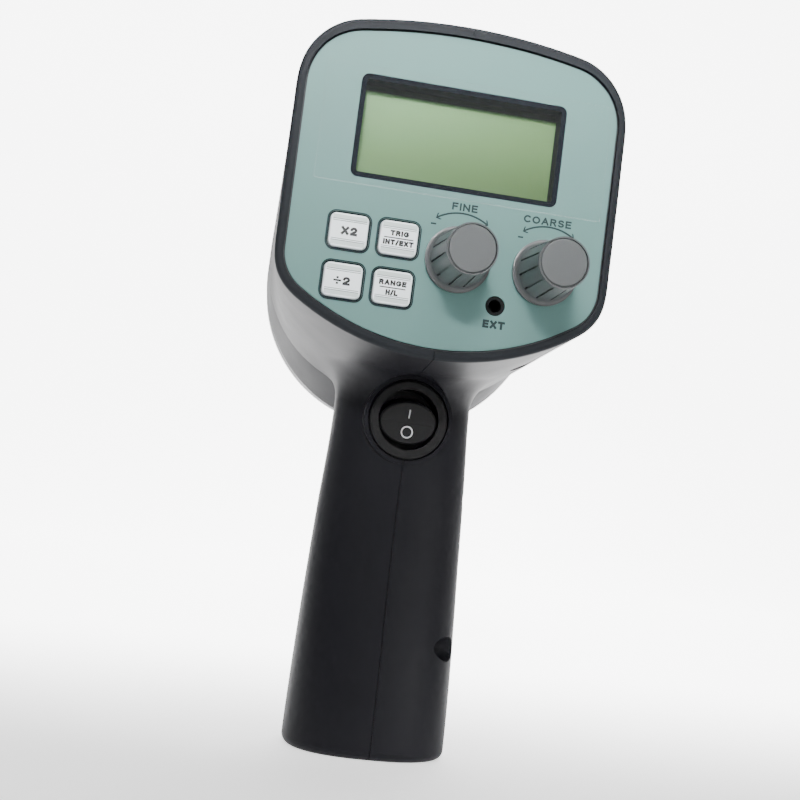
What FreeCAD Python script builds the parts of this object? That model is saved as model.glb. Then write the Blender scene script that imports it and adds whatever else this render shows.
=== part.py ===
import FreeCAD, Part
import math
import os

# Xenon stroboscope, handheld, in millimetres.
# The object stands on the foot of its handle. Z is up, the control panel faces -Y and the lamp
# shines along +Y. X = 0 is the plane where the two casing halves meet.
# The origin is on the standing surface, half way between the knob tips and the front of the lamp hood.

# Overall layout
display_height = 177.6
lamp_drop = 33.0
casing_depth = 60.0
hood_length = 39.4
knob_height = 20.6
handle_setback = 43.0

panel_y = (knob_height - casing_depth - hood_length) / 2
joint_y = panel_y + casing_depth
lamp_z = display_height - lamp_drop
hood_front_y = joint_y + hood_length
handle_y = panel_y + handle_setback

# Control panel outline, five arcs and two straight sides
panel_half_width = 44.2
panel_rise = 28.7
panel_fall = 58.6
top_arc_radius = 169.0
bottom_arc_radius = 70.0
upper_corner_radius = 16.0
lower_corner_radius = 12.0
panel_top_z = display_height + panel_rise
panel_bottom_z = display_height - panel_fall

# Casing
wall = 2.5
rim_band = 3.0
rim_proud = 0.8
rim_crown = 1.1
rim_edge_radius = 1.4
groove_width = 0.5
ledge_width = 2.0
ledge_thickness = 2.0
front_half_width = 46.3
front_half_height = 42.5
front_rise = 5.5
front_squareness_share = 2.25
neck_fillet = 12.0
seam_width = 0.2
seam_depth = 0.5
fit_gap = 0.1
cut_over = 2.0

# Handle
foot_half_width = 24.6
foot_rear_depth = 19.0
foot_front_depth = 16.9
foot_edge_radius = 2.5
grip_half_width = 21.0
grip_rear_inset = 6.5
grip_front_inset = 1.5
neck_reach = 7.0
neck_overlap = 12.0
handle_squareness_share = 2.35
grip_taper_share = 1.6
handle_rear_share = 0.7
handle_front_share = 0.76
neck_start_share = 0.87
neck_end_share = 1.13
handle_height_shares = (0, 0.12, 0.28, 0.46, 0.64, 0.82, 0.97, 1.13)
hood_rear_radius = 45.8
hood_front_radius = 44.8
neck_z = lamp_z - hood_rear_radius

# Panel stack, counted inward from the printed face
overlay_thickness = 0.5
plate_thickness = 2.5
plate_tuck = 1.3
plate_front_y = panel_y + overlay_thickness
plate_back_y = plate_front_y + plate_thickness
ledge_back_y = plate_back_y + ledge_thickness
rim_y = panel_y - rim_proud

# Display
display_width = 58.6
display_depth_z = 28.9
display_border = 1.4
display_corner = 2.0
display_recess = 5.6
bezel_flange = 2.0
window_thickness = 1.0
glass_thickness = 2.8
glass_margin = 0.9
holder_margin = 2.1
film_width = 81.6
film_depth_z = 33.2
film_shift = 1.6
film_thickness = 0.15

# Main board behind the panel
board_standoff = 9.5
board_thickness = 1.6
board_inset = 5.0
board_y = plate_back_y + board_standoff
board_back_y = board_y + board_thickness
board_boss_radius = 3.0
board_screw_radius = 1.0
board_screw_head_radius = 2.2
board_screw_head = 1.5
board_screw_bite = 4.0
board_boss_x = 37.0
board_boss_upper = 12.4
board_boss_middle = -19.6
board_boss_lower = -52.1

# Keys
key_width = 10.54
key_height = 9.34
key_corner = 1.6
key_edge_radius = 0.5
key_gap = 0.65
key_proud = 1.0
key_flange = 0.4
key_relief = 0.5
key_flange_thickness = 1.0
key_stem_radius = 2.0
key_travel = 0.5
key_rest_gap = 0.1
key_pitch_x = 13.9
key_pitch_z = 13.7
key_grid_x = -20.75
key_grid_drop = 36.8
tact_size = 6.0
tact_height = 3.5
tact_plunger_radius = 1.75
tact_plunger = 1.5

# Knobs and potentiometers
knob_drop = 33.3
fine_x = 3.3
coarse_x = 28.2
knob_skirt_radius = 9.3
knob_skirt_edge = 0.9
knob_flare = 2.2
knob_base_radius = 7.9
knob_top_radius = 6.95
knob_clearance = 0.5
knob_cap_radius = 6.4
knob_cap_thickness = 1.6
knob_cap_gap = 0.15
knob_cap_edge = 0.4
knob_flutes = 12
knob_flute_width = 0.55
knob_flute_depth = 0.55
knob_flute_margin = 1.6
nut_recess_radius = 6.8
nut_recess_depth = 4.2
nut_across_flats = 10.0
nut_thickness = 2.2
washer_radius = 5.6
washer_thickness = 0.5
bushing_radius = 3.5
bushing_length = 7.0
bushing_clearance = 0.1
shaft_radius = 3.0
shaft_clearance = 0.06
shaft_embed = 6.0
shaft_tip_gap = 0.4
pot_radius = 8.2

# External signal jack
jack_x = 15.5
jack_drop = 44.4
jack_size = 9.0
jack_nose_radius = 2.7
jack_hole_gap = 0.1
jack_recess = 0.4
jack_bore_radius = 1.8
jack_bore_depth = 10.5

# Round rocker switch
switch_height = 100.0
switch_collar_radius = 13.45
switch_collar_proud = 0.4
switch_pocket_radius = 12.25
switch_pocket_depth = 1.6
switch_seat_thickness = 2.2
switch_bezel_radius = 11.8
switch_bezel_thickness = 2.0
switch_bezel_edge = 0.8
switch_body_radius = 9.85
switch_body_depth = 13.7
switch_hole_gap = 0.2
switch_cavity_radius = 9.1
switch_cavity_depth = 8.8
rocker_half_width = 8.6
rocker_half_height = 6.5
rocker_pivot_depth = 4.7
rocker_rise = 4.4
rocker_end_rise = 0.9
rocker_back = 1.5
rocker_edge = 0.5
rocker_tilt_share = 12.0
trunnion_radius = 1.2
trunnion_clearance = 0.05
trunnion_end_gap = 0.15
terminal_width = 4.8
terminal_thickness = 0.8
terminal_length = 6.5
terminal_pitch = 6.0

# Lamp
hood_front_edge = 2.0
hood_flare = 16.0
hood_step = 0.1
spigot_radius = 32.0
spigot_bore = 28.5
spigot_gap = 0.2
flange_radius = 34.5
flange_thickness = 1.9
shoulder_bore = 38.8
shoulder_thickness = 2.5
lens_bore = 40.5
lens_stack_depth = 10.0
lens_radius = 40.2
lens_thickness = 2.6
gasket_thickness = 1.0
gasket_width = 2.4
ring_width = 2.6
ring_thickness = 4.0
reflector_flange = 1.0
reflector_radius = 37.0
reflector_focus = 11.0
reflector_hole = 9.0
reflector_wall = 1.2
tube_radius = 2.0
tube_wall = 0.5
tube_half_spacing = 6.0
tube_straight = 17.0
tube_hole_gap = 0.3
electrode_length = 6.0
electrode_pin_radius = 0.5
electrode_pin_length = 4.6
trigger_wire_radius = 0.25
trigger_wire_gap = 0.05
tube_holder_radius = 11.0
tube_holder_height = 5.0
tube_collar_radius = 8.6
tube_collar_height = 2.0
lamp_board_radius = 34.0
lamp_screw_circle = 30.25
lamp_screw_radius = 1.0
lamp_screw_head_radius = 1.8
lamp_screw_head = 1.2
lamp_screw_length = 6.0

# Power board and what it carries
power_board_half_width = 34.0
power_board_low = 129.0
power_board_high = 172.0
spacer_radius = 2.5
spacer_length = 15.7
spacer_inset = 4.0
seat_gap = 0.3
capacitor_radius = 10.0
capacitor_half_length = 18.0
capacitor_rise = 13.4
coil_radius = 5.0
coil_length = 14.0
coil_x = -22.0
coil_drop = 4.6
rectifier_width = 16.0
rectifier_depth = 5.0
rectifier_height = 12.0
rectifier_x = 22.0
rectifier_drop = 4.6
resistor_width = 24.0
resistor_depth = 6.5
resistor_x = -2.0
resistor_drop = 8.4
fuse_radius = 2.5
fuse_length = 20.0
fuse_cap_length = 5.0
fuse_cap_wall = 0.3
fuse_x = -2.0
fuse_drop = 1.1

# Power transformer in the handle
shelf_height = 41.0
shelf_thickness = 2.0
shelf_window_half_width = 8.0
shelf_window_half_depth = 6.0
core_width = 26.0
core_depth = 16.0
core_height = 24.0
core_window_width = 5.0
core_window_height = 14.0
core_leg_width = 8.0
winding_bulge = 2.0
winding_corner = 1.5
winding_gap = 0.2
transformer_shift = 1.5

# Mains inlet in the foot
inlet_width = 20.0
inlet_depth = 13.6
inlet_height = 19.5
nose_width = 16.8
nose_depth = 10.2
nose_corner = 2.0
nose_recess = 0.8
socket_lobe_radius = 4.2
socket_lobe_offset = 3.3
socket_depth = 11.0
pin_radius = 1.2
pin_offset = 4.3
pin_recess = 2.2
inlet_tab_width = 4.8
inlet_tab_thickness = 0.8
inlet_tab_length = 4.5
cradle_wall = 1.5
cradle_height = 6.5

# Housing screws, each through a well in the right half into an insert in the left half
well_radius = 3.7
well_wall = 1.5
well_floor_x = 6.0
screw_clearance_radius = 1.7
screw_radius = 1.5
screw_head_radius = 2.8
screw_head_height = 2.0
screw_socket_radius = 1.2
screw_socket_depth = 1.1
insert_radius = 2.1
insert_length = 6.0
insert_bore = 1.55
insert_boss_wall = 2.1
screw_bite = 5.5
screw_foot_y = -9.1
screw_foot_height = 33.2
screw_neck_y = 0.4
screw_neck_height = 78.0
screw_low_y = 25.4
screw_low_drop = 22.6
screw_top_y = 45.4
screw_top_rise = 35.4
screw_back_y = 21.4
screw_back_rise = 45.4

outline_points = 56
handle_points = 40
seam_points = 220
rocker_points = 24

V = FreeCAD.Vector
AXIS_X = V(1, 0, 0)
AXIS_Y = V(0, 1, 0)
AXIS_Z = V(0, 0, 1)


def save(name, shape):
    """Writes one sub-part, after a check that its solids are closed and valid."""
    if not shape.isValid() or not shape.Solids:
        raise ValueError(name + " is not a valid solid")
    shape.exportStep("parts/" + name + ".step")
    print(name, len(shape.Solids), round(shape.Volume, 1))


def block(x0, x1, y0, y1, z0, z1):
    """A box between two corners."""
    return Part.makeBox(x1 - x0, y1 - y0, z1 - z0, V(x0, y0, z0))


def rod_x(radius, y, z, x0, x1):
    """A round bar along X."""
    return Part.makeCylinder(radius, x1 - x0, V(x0, y, z), AXIS_X)


def rod_y(radius, x, z, y0, y1):
    """A round bar along Y."""
    return Part.makeCylinder(radius, y1 - y0, V(x, y0, z), AXIS_Y)


def rod_z(radius, x, y, z0, z1):
    """A round bar along Z."""
    return Part.makeCylinder(radius, z1 - z0, V(x, y, z0), AXIS_Z)


def rounded_block(width, height, corner, x, z, y0, y1):
    """A block whose four edges along Y are rounded, centred on x and z."""
    solid = block(x - width / 2, x + width / 2, y0, y1, z - height / 2, z + height / 2)
    along_y = [e for e in solid.Edges if abs(e.tangentAt(e.FirstParameter).y) > 0.9]
    return solid.makeFillet(corner, along_y)


def edges_at(shape, axis, value):
    """The edges that lie wholly in the plane where the coordinate on that axis has that value."""
    found = []
    for edge in shape.Edges:
        box = edge.BoundBox
        low = getattr(box, axis + "Min")
        high = getattr(box, axis + "Max")
        if abs(low - value) < wall / 1000 and abs(high - value) < wall / 1000:
            found.append(edge)
    return found


def turned(profile, x, z):
    """A solid of revolution about the line along Y through x and z, from (radius, y) points."""
    points = [V(x + radius, y, z) for radius, y in profile]
    face = Part.Face(Part.makePolygon(points + points[:1]))
    return face.revolve(V(x, 0, z), AXIS_Y, 360)


def joined(shapes):
    """All the shapes fused into one."""
    whole = shapes[0]
    if len(shapes) > 1:
        whole = whole.multiFuse(shapes[1:])
    return whole.removeSplitter()


def panel_wire(grow, y):
    """The panel outline, grown evenly outward, as a closed wire in the plane at y."""
    top = (0, panel_top_z - top_arc_radius)
    bottom = (0, panel_bottom_z + bottom_arc_radius)
    upper_x = panel_half_width - upper_corner_radius
    lower_x = panel_half_width - lower_corner_radius
    upper_z = top[1] + math.sqrt((top_arc_radius - upper_corner_radius) ** 2 - upper_x**2)
    lower_z = bottom[1] - math.sqrt((bottom_arc_radius - lower_corner_radius) ** 2 - lower_x**2)
    top_turn = math.atan2(upper_x, upper_z - top[1])
    bottom_turn = math.pi - math.atan2(lower_x, bottom[1] - lower_z)
    quarter = math.pi / 2
    half = math.pi

    def on_arc(centre, radius, turn, side):
        x = centre[0] + side * radius * math.sin(turn)
        return V(x, y, centre[1] + radius * math.cos(turn))

    def arc(centre, radius, start, end, side):
        middle = (start + end) / 2
        ends = [on_arc(centre, radius + grow, turn, side) for turn in (start, middle, end)]
        return Part.Arc(*ends).toShape()

    x = panel_half_width + grow
    down = [
        arc(top, top_arc_radius, 0, top_turn, 1),
        arc((upper_x, upper_z), upper_corner_radius, top_turn, quarter, 1),
        Part.LineSegment(V(x, y, upper_z), V(x, y, lower_z)).toShape(),
        arc((lower_x, lower_z), lower_corner_radius, quarter, bottom_turn, 1),
        arc(bottom, bottom_arc_radius, bottom_turn, half, 1),
    ]
    up = [
        arc(bottom, bottom_arc_radius, half, bottom_turn, -1),
        arc((-lower_x, lower_z), lower_corner_radius, bottom_turn, quarter, -1),
        Part.LineSegment(V(-x, y, lower_z), V(-x, y, upper_z)).toShape(),
        arc((-upper_x, upper_z), upper_corner_radius, quarter, top_turn, -1),
        arc(top, top_arc_radius, top_turn, 0, -1),
    ]
    return Part.Wire(down + up)


def panel_slab(grow, y0, y1):
    """A slab of the panel outline between two depths."""
    return Part.Face(panel_wire(grow, y0)).extrude(V(0, y1 - y0, 0))


def smooth_loop(points):
    """A closed smooth wire through the points."""
    curve = Part.BSplineCurve()
    curve.interpolate(Points=points, PeriodicFlag=True)
    return Part.Wire(curve.toShape())


def smooth_curve(points):
    """An open smooth edge through the points."""
    curve = Part.BSplineCurve()
    curve.interpolate(points)
    return curve.toShape()


def squircle(half_a, half_b, power, count):
    """Points round a squared ellipse, from the end of its second axis."""
    points = []
    for i in range(count):
        turn = 2 * math.pi * i / count
        s = math.sin(turn)
        c = math.cos(turn)
        a = half_a * math.copysign(abs(s) ** (2 / power), s)
        b = half_b * math.copysign(abs(c) ** (2 / power), c)
        points.append((a, b))
    return points


def even_points(wire):
    """Points spaced evenly round a closed wire that starts at its top, going towards +X."""
    return [(p.x, p.z) for p in wire.discretize(Number=outline_points + 1)[:-1]]


def rim_outline():
    """The outer outline of the rim, which the casing starts from; its band is widest at the top."""
    points = []
    for x, z in even_points(panel_wire(rim_band, 0)):
        points.append((x, z + rim_crown * ease((z - display_height) / panel_rise)))
    return points


def front_outline():
    """The casing's outline where the lamp hood joins it."""
    centre_z = lamp_z + front_rise
    loop = squircle(front_half_width, front_half_height, front_squareness_share, outline_points)
    return even_points(smooth_loop([V(x, 0, centre_z + z) for x, z in loop]))


def head_solid(inset, y0, y1):
    """The head of the casing, blended from rim to joint, drawn in by inset."""
    stations = 4
    rim = rim_outline()
    front = front_outline()
    wires = []
    for k in range(stations + 1):
        y = y0 + (y1 - y0) * k / stations
        share = (y - rim_y) / (joint_y - rim_y)
        loop = []
        for a, b in zip(rim, front):
            loop.append(((1 - share) * a[0] + share * b[0], (1 - share) * a[1] + share * b[1]))
        drawn = []
        for i, (x, z) in enumerate(loop):
            before = loop[i - 1]
            after = loop[(i + 1) % len(loop)]
            run_x = after[0] - before[0]
            run_z = after[1] - before[1]
            length = math.hypot(run_x, run_z)
            drawn.append(V(x + inset * run_z / length, y, z - inset * run_x / length))
        wires.append(smooth_loop(drawn))
    return Part.makeLoft(wires, True, False)


def ease(share):
    """A smooth step from 0 to 1."""
    share = max(0, min(1, share))
    return (1 - math.cos(math.pi * share)) / 2


def handle_section(z):
    """Half width, rear depth and front depth of the handle at a height."""
    rise = min(z / neck_z, 1)
    half_width = foot_half_width - (foot_half_width - grip_half_width) * rise**grip_taper_share
    rear = handle_y - foot_rear_depth + grip_rear_inset * ease(rise / handle_rear_share)
    front = handle_y + foot_front_depth - grip_front_inset * ease(rise / handle_front_share)
    sweep = max(z - neck_z * neck_start_share, 0) / (neck_z * (neck_end_share - neck_start_share))
    return half_width, rear, front + neck_reach * min(sweep, 1) ** grip_taper_share


def handle_solid(inset, z0):
    """The handle from z0 up into the head, drawn in by inset."""
    top = neck_z * neck_end_share + neck_overlap
    heights = [neck_z * share for share in handle_height_shares if neck_z * share > z0]
    wires = []
    for z in [z0] + heights + [top]:
        half_width, rear, front = handle_section(min(z, neck_z * neck_end_share))
        middle = (rear + front) / 2
        half_depth = (front - rear) / 2
        loop = squircle(half_width - inset, half_depth - inset, handle_squareness_share, handle_points)
        wires.append(smooth_loop([V(x, middle + y, z) for x, y in loop]))
    return Part.makeLoft(wires, True, False)


def behind(shape, y, reach):
    """The part of a shape whose Y is less than y."""
    return shape.common(block(-reach, reach, y - 2 * reach, y, -reach, 2 * reach))


reach = casing_depth + hood_length + display_height
grip_rear_y = handle_section(switch_height)[1]
collar_y = grip_rear_y - switch_collar_proud
pocket_floor_y = collar_y + switch_pocket_depth
boss_radius = well_radius + well_wall
insert_boss_radius = insert_radius + insert_boss_wall

screw_places = [
    (handle_y + screw_foot_y, screw_foot_height),
    (handle_y + screw_neck_y, screw_neck_height),
    (panel_y + screw_low_y, lamp_z - screw_low_drop),
    (panel_y + screw_top_y, lamp_z + screw_top_rise),
    (panel_y + screw_back_y, lamp_z + screw_back_rise),
]

board_boss_places = [
    (-board_boss_x, display_height + board_boss_upper),
    (board_boss_x, display_height + board_boss_upper),
    (-board_boss_x, display_height + board_boss_middle),
    (board_boss_x, display_height + board_boss_middle),
    (0, display_height + board_boss_lower),
]

key_places = {
    "key_double": (key_grid_x - key_pitch_x / 2, display_height - key_grid_drop + key_pitch_z / 2),
    "key_trigger": (key_grid_x + key_pitch_x / 2, display_height - key_grid_drop + key_pitch_z / 2),
    "key_halve": (key_grid_x - key_pitch_x / 2, display_height - key_grid_drop - key_pitch_z / 2),
    "key_range": (key_grid_x + key_pitch_x / 2, display_height - key_grid_drop - key_pitch_z / 2),
}

knob_places = {
    "fine": (fine_x, display_height - knob_drop),
    "coarse": (coarse_x, display_height - knob_drop),
}
jack_z = display_height - jack_drop


def casing_outside():
    """The outer form of both halves together, with the neck blended into the head."""
    head = head_solid(0, rim_y, joint_y + neck_fillet)
    handle = handle_solid(0, 0)
    body = head.fuse(handle)
    borders = head.Edges + handle.Edges

    def is_border(edge):
        middle = edge.valueAt((edge.FirstParameter + edge.LastParameter) / 2)
        return min(b.distToShape(Part.Vertex(middle))[0] for b in borders) < wall / 1000

    body = body.makeFillet(neck_fillet, [e for e in body.Edges if not is_border(e)])
    body = behind(body, joint_y, reach)
    body = body.makeFillet(rim_edge_radius, edges_at(body, "Y", rim_y))
    body = body.makeFillet(foot_edge_radius, edges_at(body, "Z", 0))
    return body


def casing_cavity():
    """The hollow inside both halves."""
    head = head_solid(wall, ledge_back_y, joint_y)
    handle = handle_solid(wall, wall)
    return behind(head.fuse(handle), joint_y - wall, reach)


def seam_slot(outside):
    """A thin groove along the parting line, where the two halves meet on the outside."""
    section = outside.slice(AXIS_X, 0)[0].discretize(Number=seam_points)
    loop = [V(0, point.y, point.z) for point in section]
    sense = math.copysign(1, sum(a.y * b.z - b.y * a.z for a, b in zip(loop, loop[1:])))
    drawn = []
    for i, point in enumerate(loop[:-1]):
        run = loop[i + 1] - loop[i - 1 if i else -2]
        inward = V(0, -run.z, run.y) * (sense * seam_depth / run.Length)
        drawn.append(point + inward)
    core = Part.Face(Part.makePolygon(drawn + drawn[:1])).extrude(V(seam_width, 0, 0))
    core.translate(V(-seam_width / 2, 0, 0))
    return block(-seam_width / 2, seam_width / 2, -reach, reach, -reach, 2 * reach).cut(core)


def inlet_cradle():
    """The low wall on the foot's floor that holds the mains inlet."""
    half_w = inlet_width / 2 + fit_gap
    half_d = inlet_depth / 2 + fit_gap
    outer_w = half_w + cradle_wall
    outer_d = half_d + cradle_wall
    top = wall + cradle_height
    outer = block(-outer_w, outer_w, handle_y - outer_d, handle_y + outer_d, 0, top)
    return outer.cut(block(-half_w, half_w, handle_y - half_d, handle_y + half_d, 0, top))


def transformer_shelf():
    """The shelf across the handle that the transformer stands on, with a window for the leads."""
    slab = block(-reach, reach, -reach, reach, shelf_height, shelf_height + shelf_thickness)
    half_w = shelf_window_half_width
    half_d = shelf_window_half_depth
    return slab.cut(block(-half_w, half_w, handle_y - half_d, handle_y + half_d, 0, reach))


def inlet_nose(grow, z0, z1):
    """The part of the mains inlet that fills the opening in the foot."""
    half_w = nose_width / 2 + grow
    half_d = nose_depth / 2 + grow
    nose = block(-half_w, half_w, handle_y - half_d, handle_y + half_d, z0, z1)
    along_z = [e for e in nose.Edges if abs(e.tangentAt(e.FirstParameter).z) > 0.9]
    return nose.makeFillet(nose_corner + grow, along_z)


def make_casing():
    """The right and left halves: each is the outer form, less its openings, less the hollow."""
    outside = casing_outside()
    cavity = casing_cavity()
    slot = seam_slot(outside)
    seat_back_y = pocket_floor_y + switch_seat_thickness
    collar = rod_y(switch_collar_radius, 0, switch_height, collar_y, seat_back_y)
    openings = [
        panel_slab(groove_width, rim_y - cut_over, plate_front_y),
        panel_slab(plate_tuck + fit_gap, plate_front_y, plate_back_y),
        panel_slab(-ledge_width, plate_back_y - fit_gap, ledge_back_y + fit_gap),
        rod_y(spigot_radius + spigot_gap, 0, lamp_z, joint_y - wall - cut_over, joint_y + cut_over),
        rod_y(switch_collar_radius, 0, switch_height, rim_y, collar_y),
        rod_y(switch_pocket_radius, 0, switch_height, collar_y - cut_over, pocket_floor_y),
        rod_y(switch_body_radius + switch_hole_gap, 0, switch_height, collar_y, seat_back_y + cut_over),
        inlet_nose(fit_gap, -cut_over, wall + cut_over),
    ]
    for x, z in key_places.values():
        openings.append(key_flange_block(x, z, key_relief, plate_back_y, ledge_back_y + cut_over))
    for name, side in (("right_shell", 1), ("left_shell", -1)):
        half = block(min(0, side * reach), max(0, side * reach), -reach, reach, -reach, 2 * reach)
        kept = [collar, inlet_cradle(), transformer_shelf()]
        cuts = openings + [slot]
        for y, z in screw_places:
            if side > 0:
                kept.append(rod_x(boss_radius, y, z, 0, reach))
                cuts.append(rod_x(well_radius, y, z, well_floor_x, reach))
                cuts.append(rod_x(screw_clearance_radius, y, z, 0, well_floor_x))
            else:
                kept.append(rod_x(insert_boss_radius, y, z, -reach, 0))
                cuts.append(rod_x(insert_radius, y, z, -insert_length - fit_gap, 0))
        hollow = cavity.common(half).cut(kept)
        form = outside.common(half).fuse(collar.common(half)).cut(cuts)
        shell = form.cut(hollow)
        save(name, max(shell.Solids, key=lambda solid: solid.Volume))


def make_fasteners():
    """The five housing screws and the brass inserts that they turn into."""
    screws = []
    inserts = []
    for y, z in screw_places:
        head = rod_x(screw_head_radius, y, z, well_floor_x, well_floor_x + screw_head_height)
        socket_x = well_floor_x + screw_head_height - screw_socket_depth
        head = head.cut(rod_x(screw_socket_radius, y, z, socket_x, socket_x + cut_over))
        screws.append(head.fuse(rod_x(screw_radius, y, z, -screw_bite, well_floor_x)))
        insert = rod_x(insert_radius, y, z, -insert_length, 0)
        inserts.append(insert.cut(rod_x(insert_bore, y, z, -insert_length, 0)))
    save("housing_screws", Part.makeCompound([s.removeSplitter() for s in screws]))
    save("threaded_inserts", Part.makeCompound(inserts))


def panel_openings(y0, y1):
    """What passes through both the overlay and the plate behind it."""
    z = display_height
    width = display_width + 2 * fit_gap
    height = display_depth_z + 2 * fit_gap
    holes = [rounded_block(width, height, display_corner + fit_gap, 0, z, y0, y1)]
    for x, z in key_places.values():
        wide = key_width + 2 * key_gap
        high = key_height + 2 * key_gap
        holes.append(rounded_block(wide, high, key_corner + key_gap, x, z, y0, y1))
    for x, z in knob_places.values():
        holes.append(rod_y(bushing_radius + bushing_clearance, x, z, y0, y1))
    holes.append(rod_y(jack_nose_radius + jack_hole_gap, jack_x, jack_z, y0, y1))
    return Part.makeCompound(holes)


def make_panel():
    """The printed overlay, and the plate behind it with its bosses for the main board."""
    overlay = panel_slab(0, panel_y, plate_front_y)
    overlay = overlay.cut(panel_openings(panel_y - cut_over, plate_front_y + cut_over))
    save("panel_overlay", overlay)
    plate = panel_slab(plate_tuck, plate_front_y, plate_back_y)
    plate = plate.cut(panel_openings(plate_front_y - cut_over, plate_back_y + cut_over))
    posts = [rod_y(board_boss_radius, x, z, plate_back_y, board_y) for x, z in board_boss_places]
    plate = joined([plate] + posts)
    holes = []
    for x, z in board_boss_places:
        holes.append(rod_y(board_screw_radius, x, z, board_y - board_screw_bite - fit_gap, board_y))
    save("panel_plate", plate.cut(Part.makeCompound(holes)))


def make_display():
    """The bezel, window, film, glass and holder of the display."""
    z = display_height
    recess_y = panel_y + display_recess
    inner_width = display_width - 2 * display_border
    inner_height = display_depth_z - 2 * display_border
    inner_corner = display_corner - display_border
    frame = rounded_block(display_width, display_depth_z, display_corner, 0, z, panel_y, recess_y)
    flange_width = display_width + 2 * bezel_flange
    flange_height = display_depth_z + 2 * bezel_flange
    flange = rounded_block(flange_width, flange_height, display_corner, 0, z, plate_back_y, recess_y)
    opening = rounded_block(inner_width, inner_height, inner_corner, 0, z, panel_y - cut_over,
                            recess_y + cut_over)
    save("display_bezel", joined([frame, flange]).cut(opening))
    pane = rounded_block(inner_width - 2 * fit_gap, inner_height - 2 * fit_gap, inner_corner, 0, z,
                         panel_y, panel_y + window_thickness)
    save("display_window", pane)
    film_half = film_width / 2
    film = block(film_shift - film_half, film_shift + film_half, panel_y - film_thickness, panel_y,
                 z - film_depth_z / 2, z + film_depth_z / 2)
    save("display_film", film)
    glass_back_y = recess_y + glass_thickness
    glass_half_w = inner_width / 2 + glass_margin
    glass_half_h = inner_height / 2 + glass_margin
    glass = block(-glass_half_w, glass_half_w, recess_y, glass_back_y, z - glass_half_h, z + glass_half_h)
    save("display_glass", glass)
    half_w = inner_width / 2 + holder_margin
    half_h = inner_height / 2 + holder_margin
    save("display_holder", block(-half_w, half_w, glass_back_y, board_y, z - half_h, z + half_h))


def make_boards():
    """The main board with its screws, and the power board on four spacers behind it."""
    board = panel_slab(-board_inset, board_y, board_back_y)
    holes = []
    screws = []
    for x, z in board_boss_places:
        hole = board_screw_radius + fit_gap
        holes.append(rod_y(hole, x, z, board_y - cut_over, board_back_y + cut_over))
        head = rod_y(board_screw_head_radius, x, z, board_back_y, board_back_y + board_screw_head)
        shank = rod_y(board_screw_radius - fit_gap / 2, x, z, board_y - board_screw_bite, board_back_y)
        screws.append(head.fuse(shank).removeSplitter())
    save("main_board", board.cut(Part.makeCompound(holes)))
    save("board_screws", Part.makeCompound(screws))
    power_y = board_back_y + spacer_length
    spacers = []
    for x in (-power_board_half_width + spacer_inset, power_board_half_width - spacer_inset):
        for z in (power_board_low + spacer_inset, power_board_high - spacer_inset):
            spacers.append(rod_y(spacer_radius, x, z, board_back_y, power_y))
    save("board_spacers", Part.makeCompound(spacers))
    half = power_board_half_width
    face_y = power_y + board_thickness
    save("power_board", block(-half, half, power_y, face_y, power_board_low, power_board_high))
    make_power_parts(face_y)


def make_power_parts(face_y):
    """The parts that charge and fire the lamp, on the front of the power board."""
    y = face_y + seat_gap + capacitor_radius
    z = lamp_z + capacitor_rise
    can = rod_x(capacitor_radius, y, z, -capacitor_half_length, capacitor_half_length)
    groove_x = capacitor_half_length - capacitor_radius / 4
    ring = rod_x(capacitor_radius, y, z, groove_x - seat_gap, groove_x + seat_gap)
    ring = ring.cut(rod_x(capacitor_radius - 2 * seat_gap, y, z, groove_x - wall, groove_x + wall))
    save("storage_capacitor", can.cut(ring))
    z = lamp_z - coil_drop
    y = face_y + seat_gap + coil_radius
    spool = rod_z(coil_radius, coil_x, y, z - coil_length / 2, z + coil_length / 2)
    waist = rod_z(coil_radius, coil_x, y, z - coil_length / 3, z + coil_length / 3)
    waist = waist.cut(rod_z(coil_radius - 2 * seat_gap, coil_x, y, z - coil_length, z + coil_length))
    save("trigger_coil", spool.cut(waist))
    z = lamp_z - rectifier_drop
    x0 = rectifier_x - rectifier_width / 2
    x1 = rectifier_x + rectifier_width / 2
    low = z - rectifier_height / 2
    high = z + rectifier_height / 2
    save("bridge_rectifier", block(x0, x1, face_y, face_y + rectifier_depth, low, high))
    z = lamp_z - resistor_drop
    x0 = resistor_x - resistor_width / 2
    x1 = resistor_x + resistor_width / 2
    low = z - resistor_depth / 2
    high = z + resistor_depth / 2
    save("power_resistor", block(x0, x1, face_y, face_y + resistor_depth, low, high))
    y = face_y + fuse_radius
    z = lamp_z - fuse_drop
    x0 = fuse_x - fuse_length / 2
    x1 = fuse_x + fuse_length / 2
    middle = rod_x(fuse_radius - fuse_cap_wall, y, z, x0, x1)
    left_cap = rod_x(fuse_radius, y, z, x0, x0 + fuse_cap_length)
    right_cap = rod_x(fuse_radius, y, z, x1 - fuse_cap_length, x1)
    save("fuse", joined([middle, left_cap, right_cap]))


def key_flange_block(x, z, grow, y0, y1):
    """The flange behind the plate that keeps a key in, grown evenly."""
    overhang = key_gap + key_flange + grow
    return rounded_block(key_width + 2 * overhang, key_height + 2 * overhang, key_corner, x, z, y0, y1)


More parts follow.
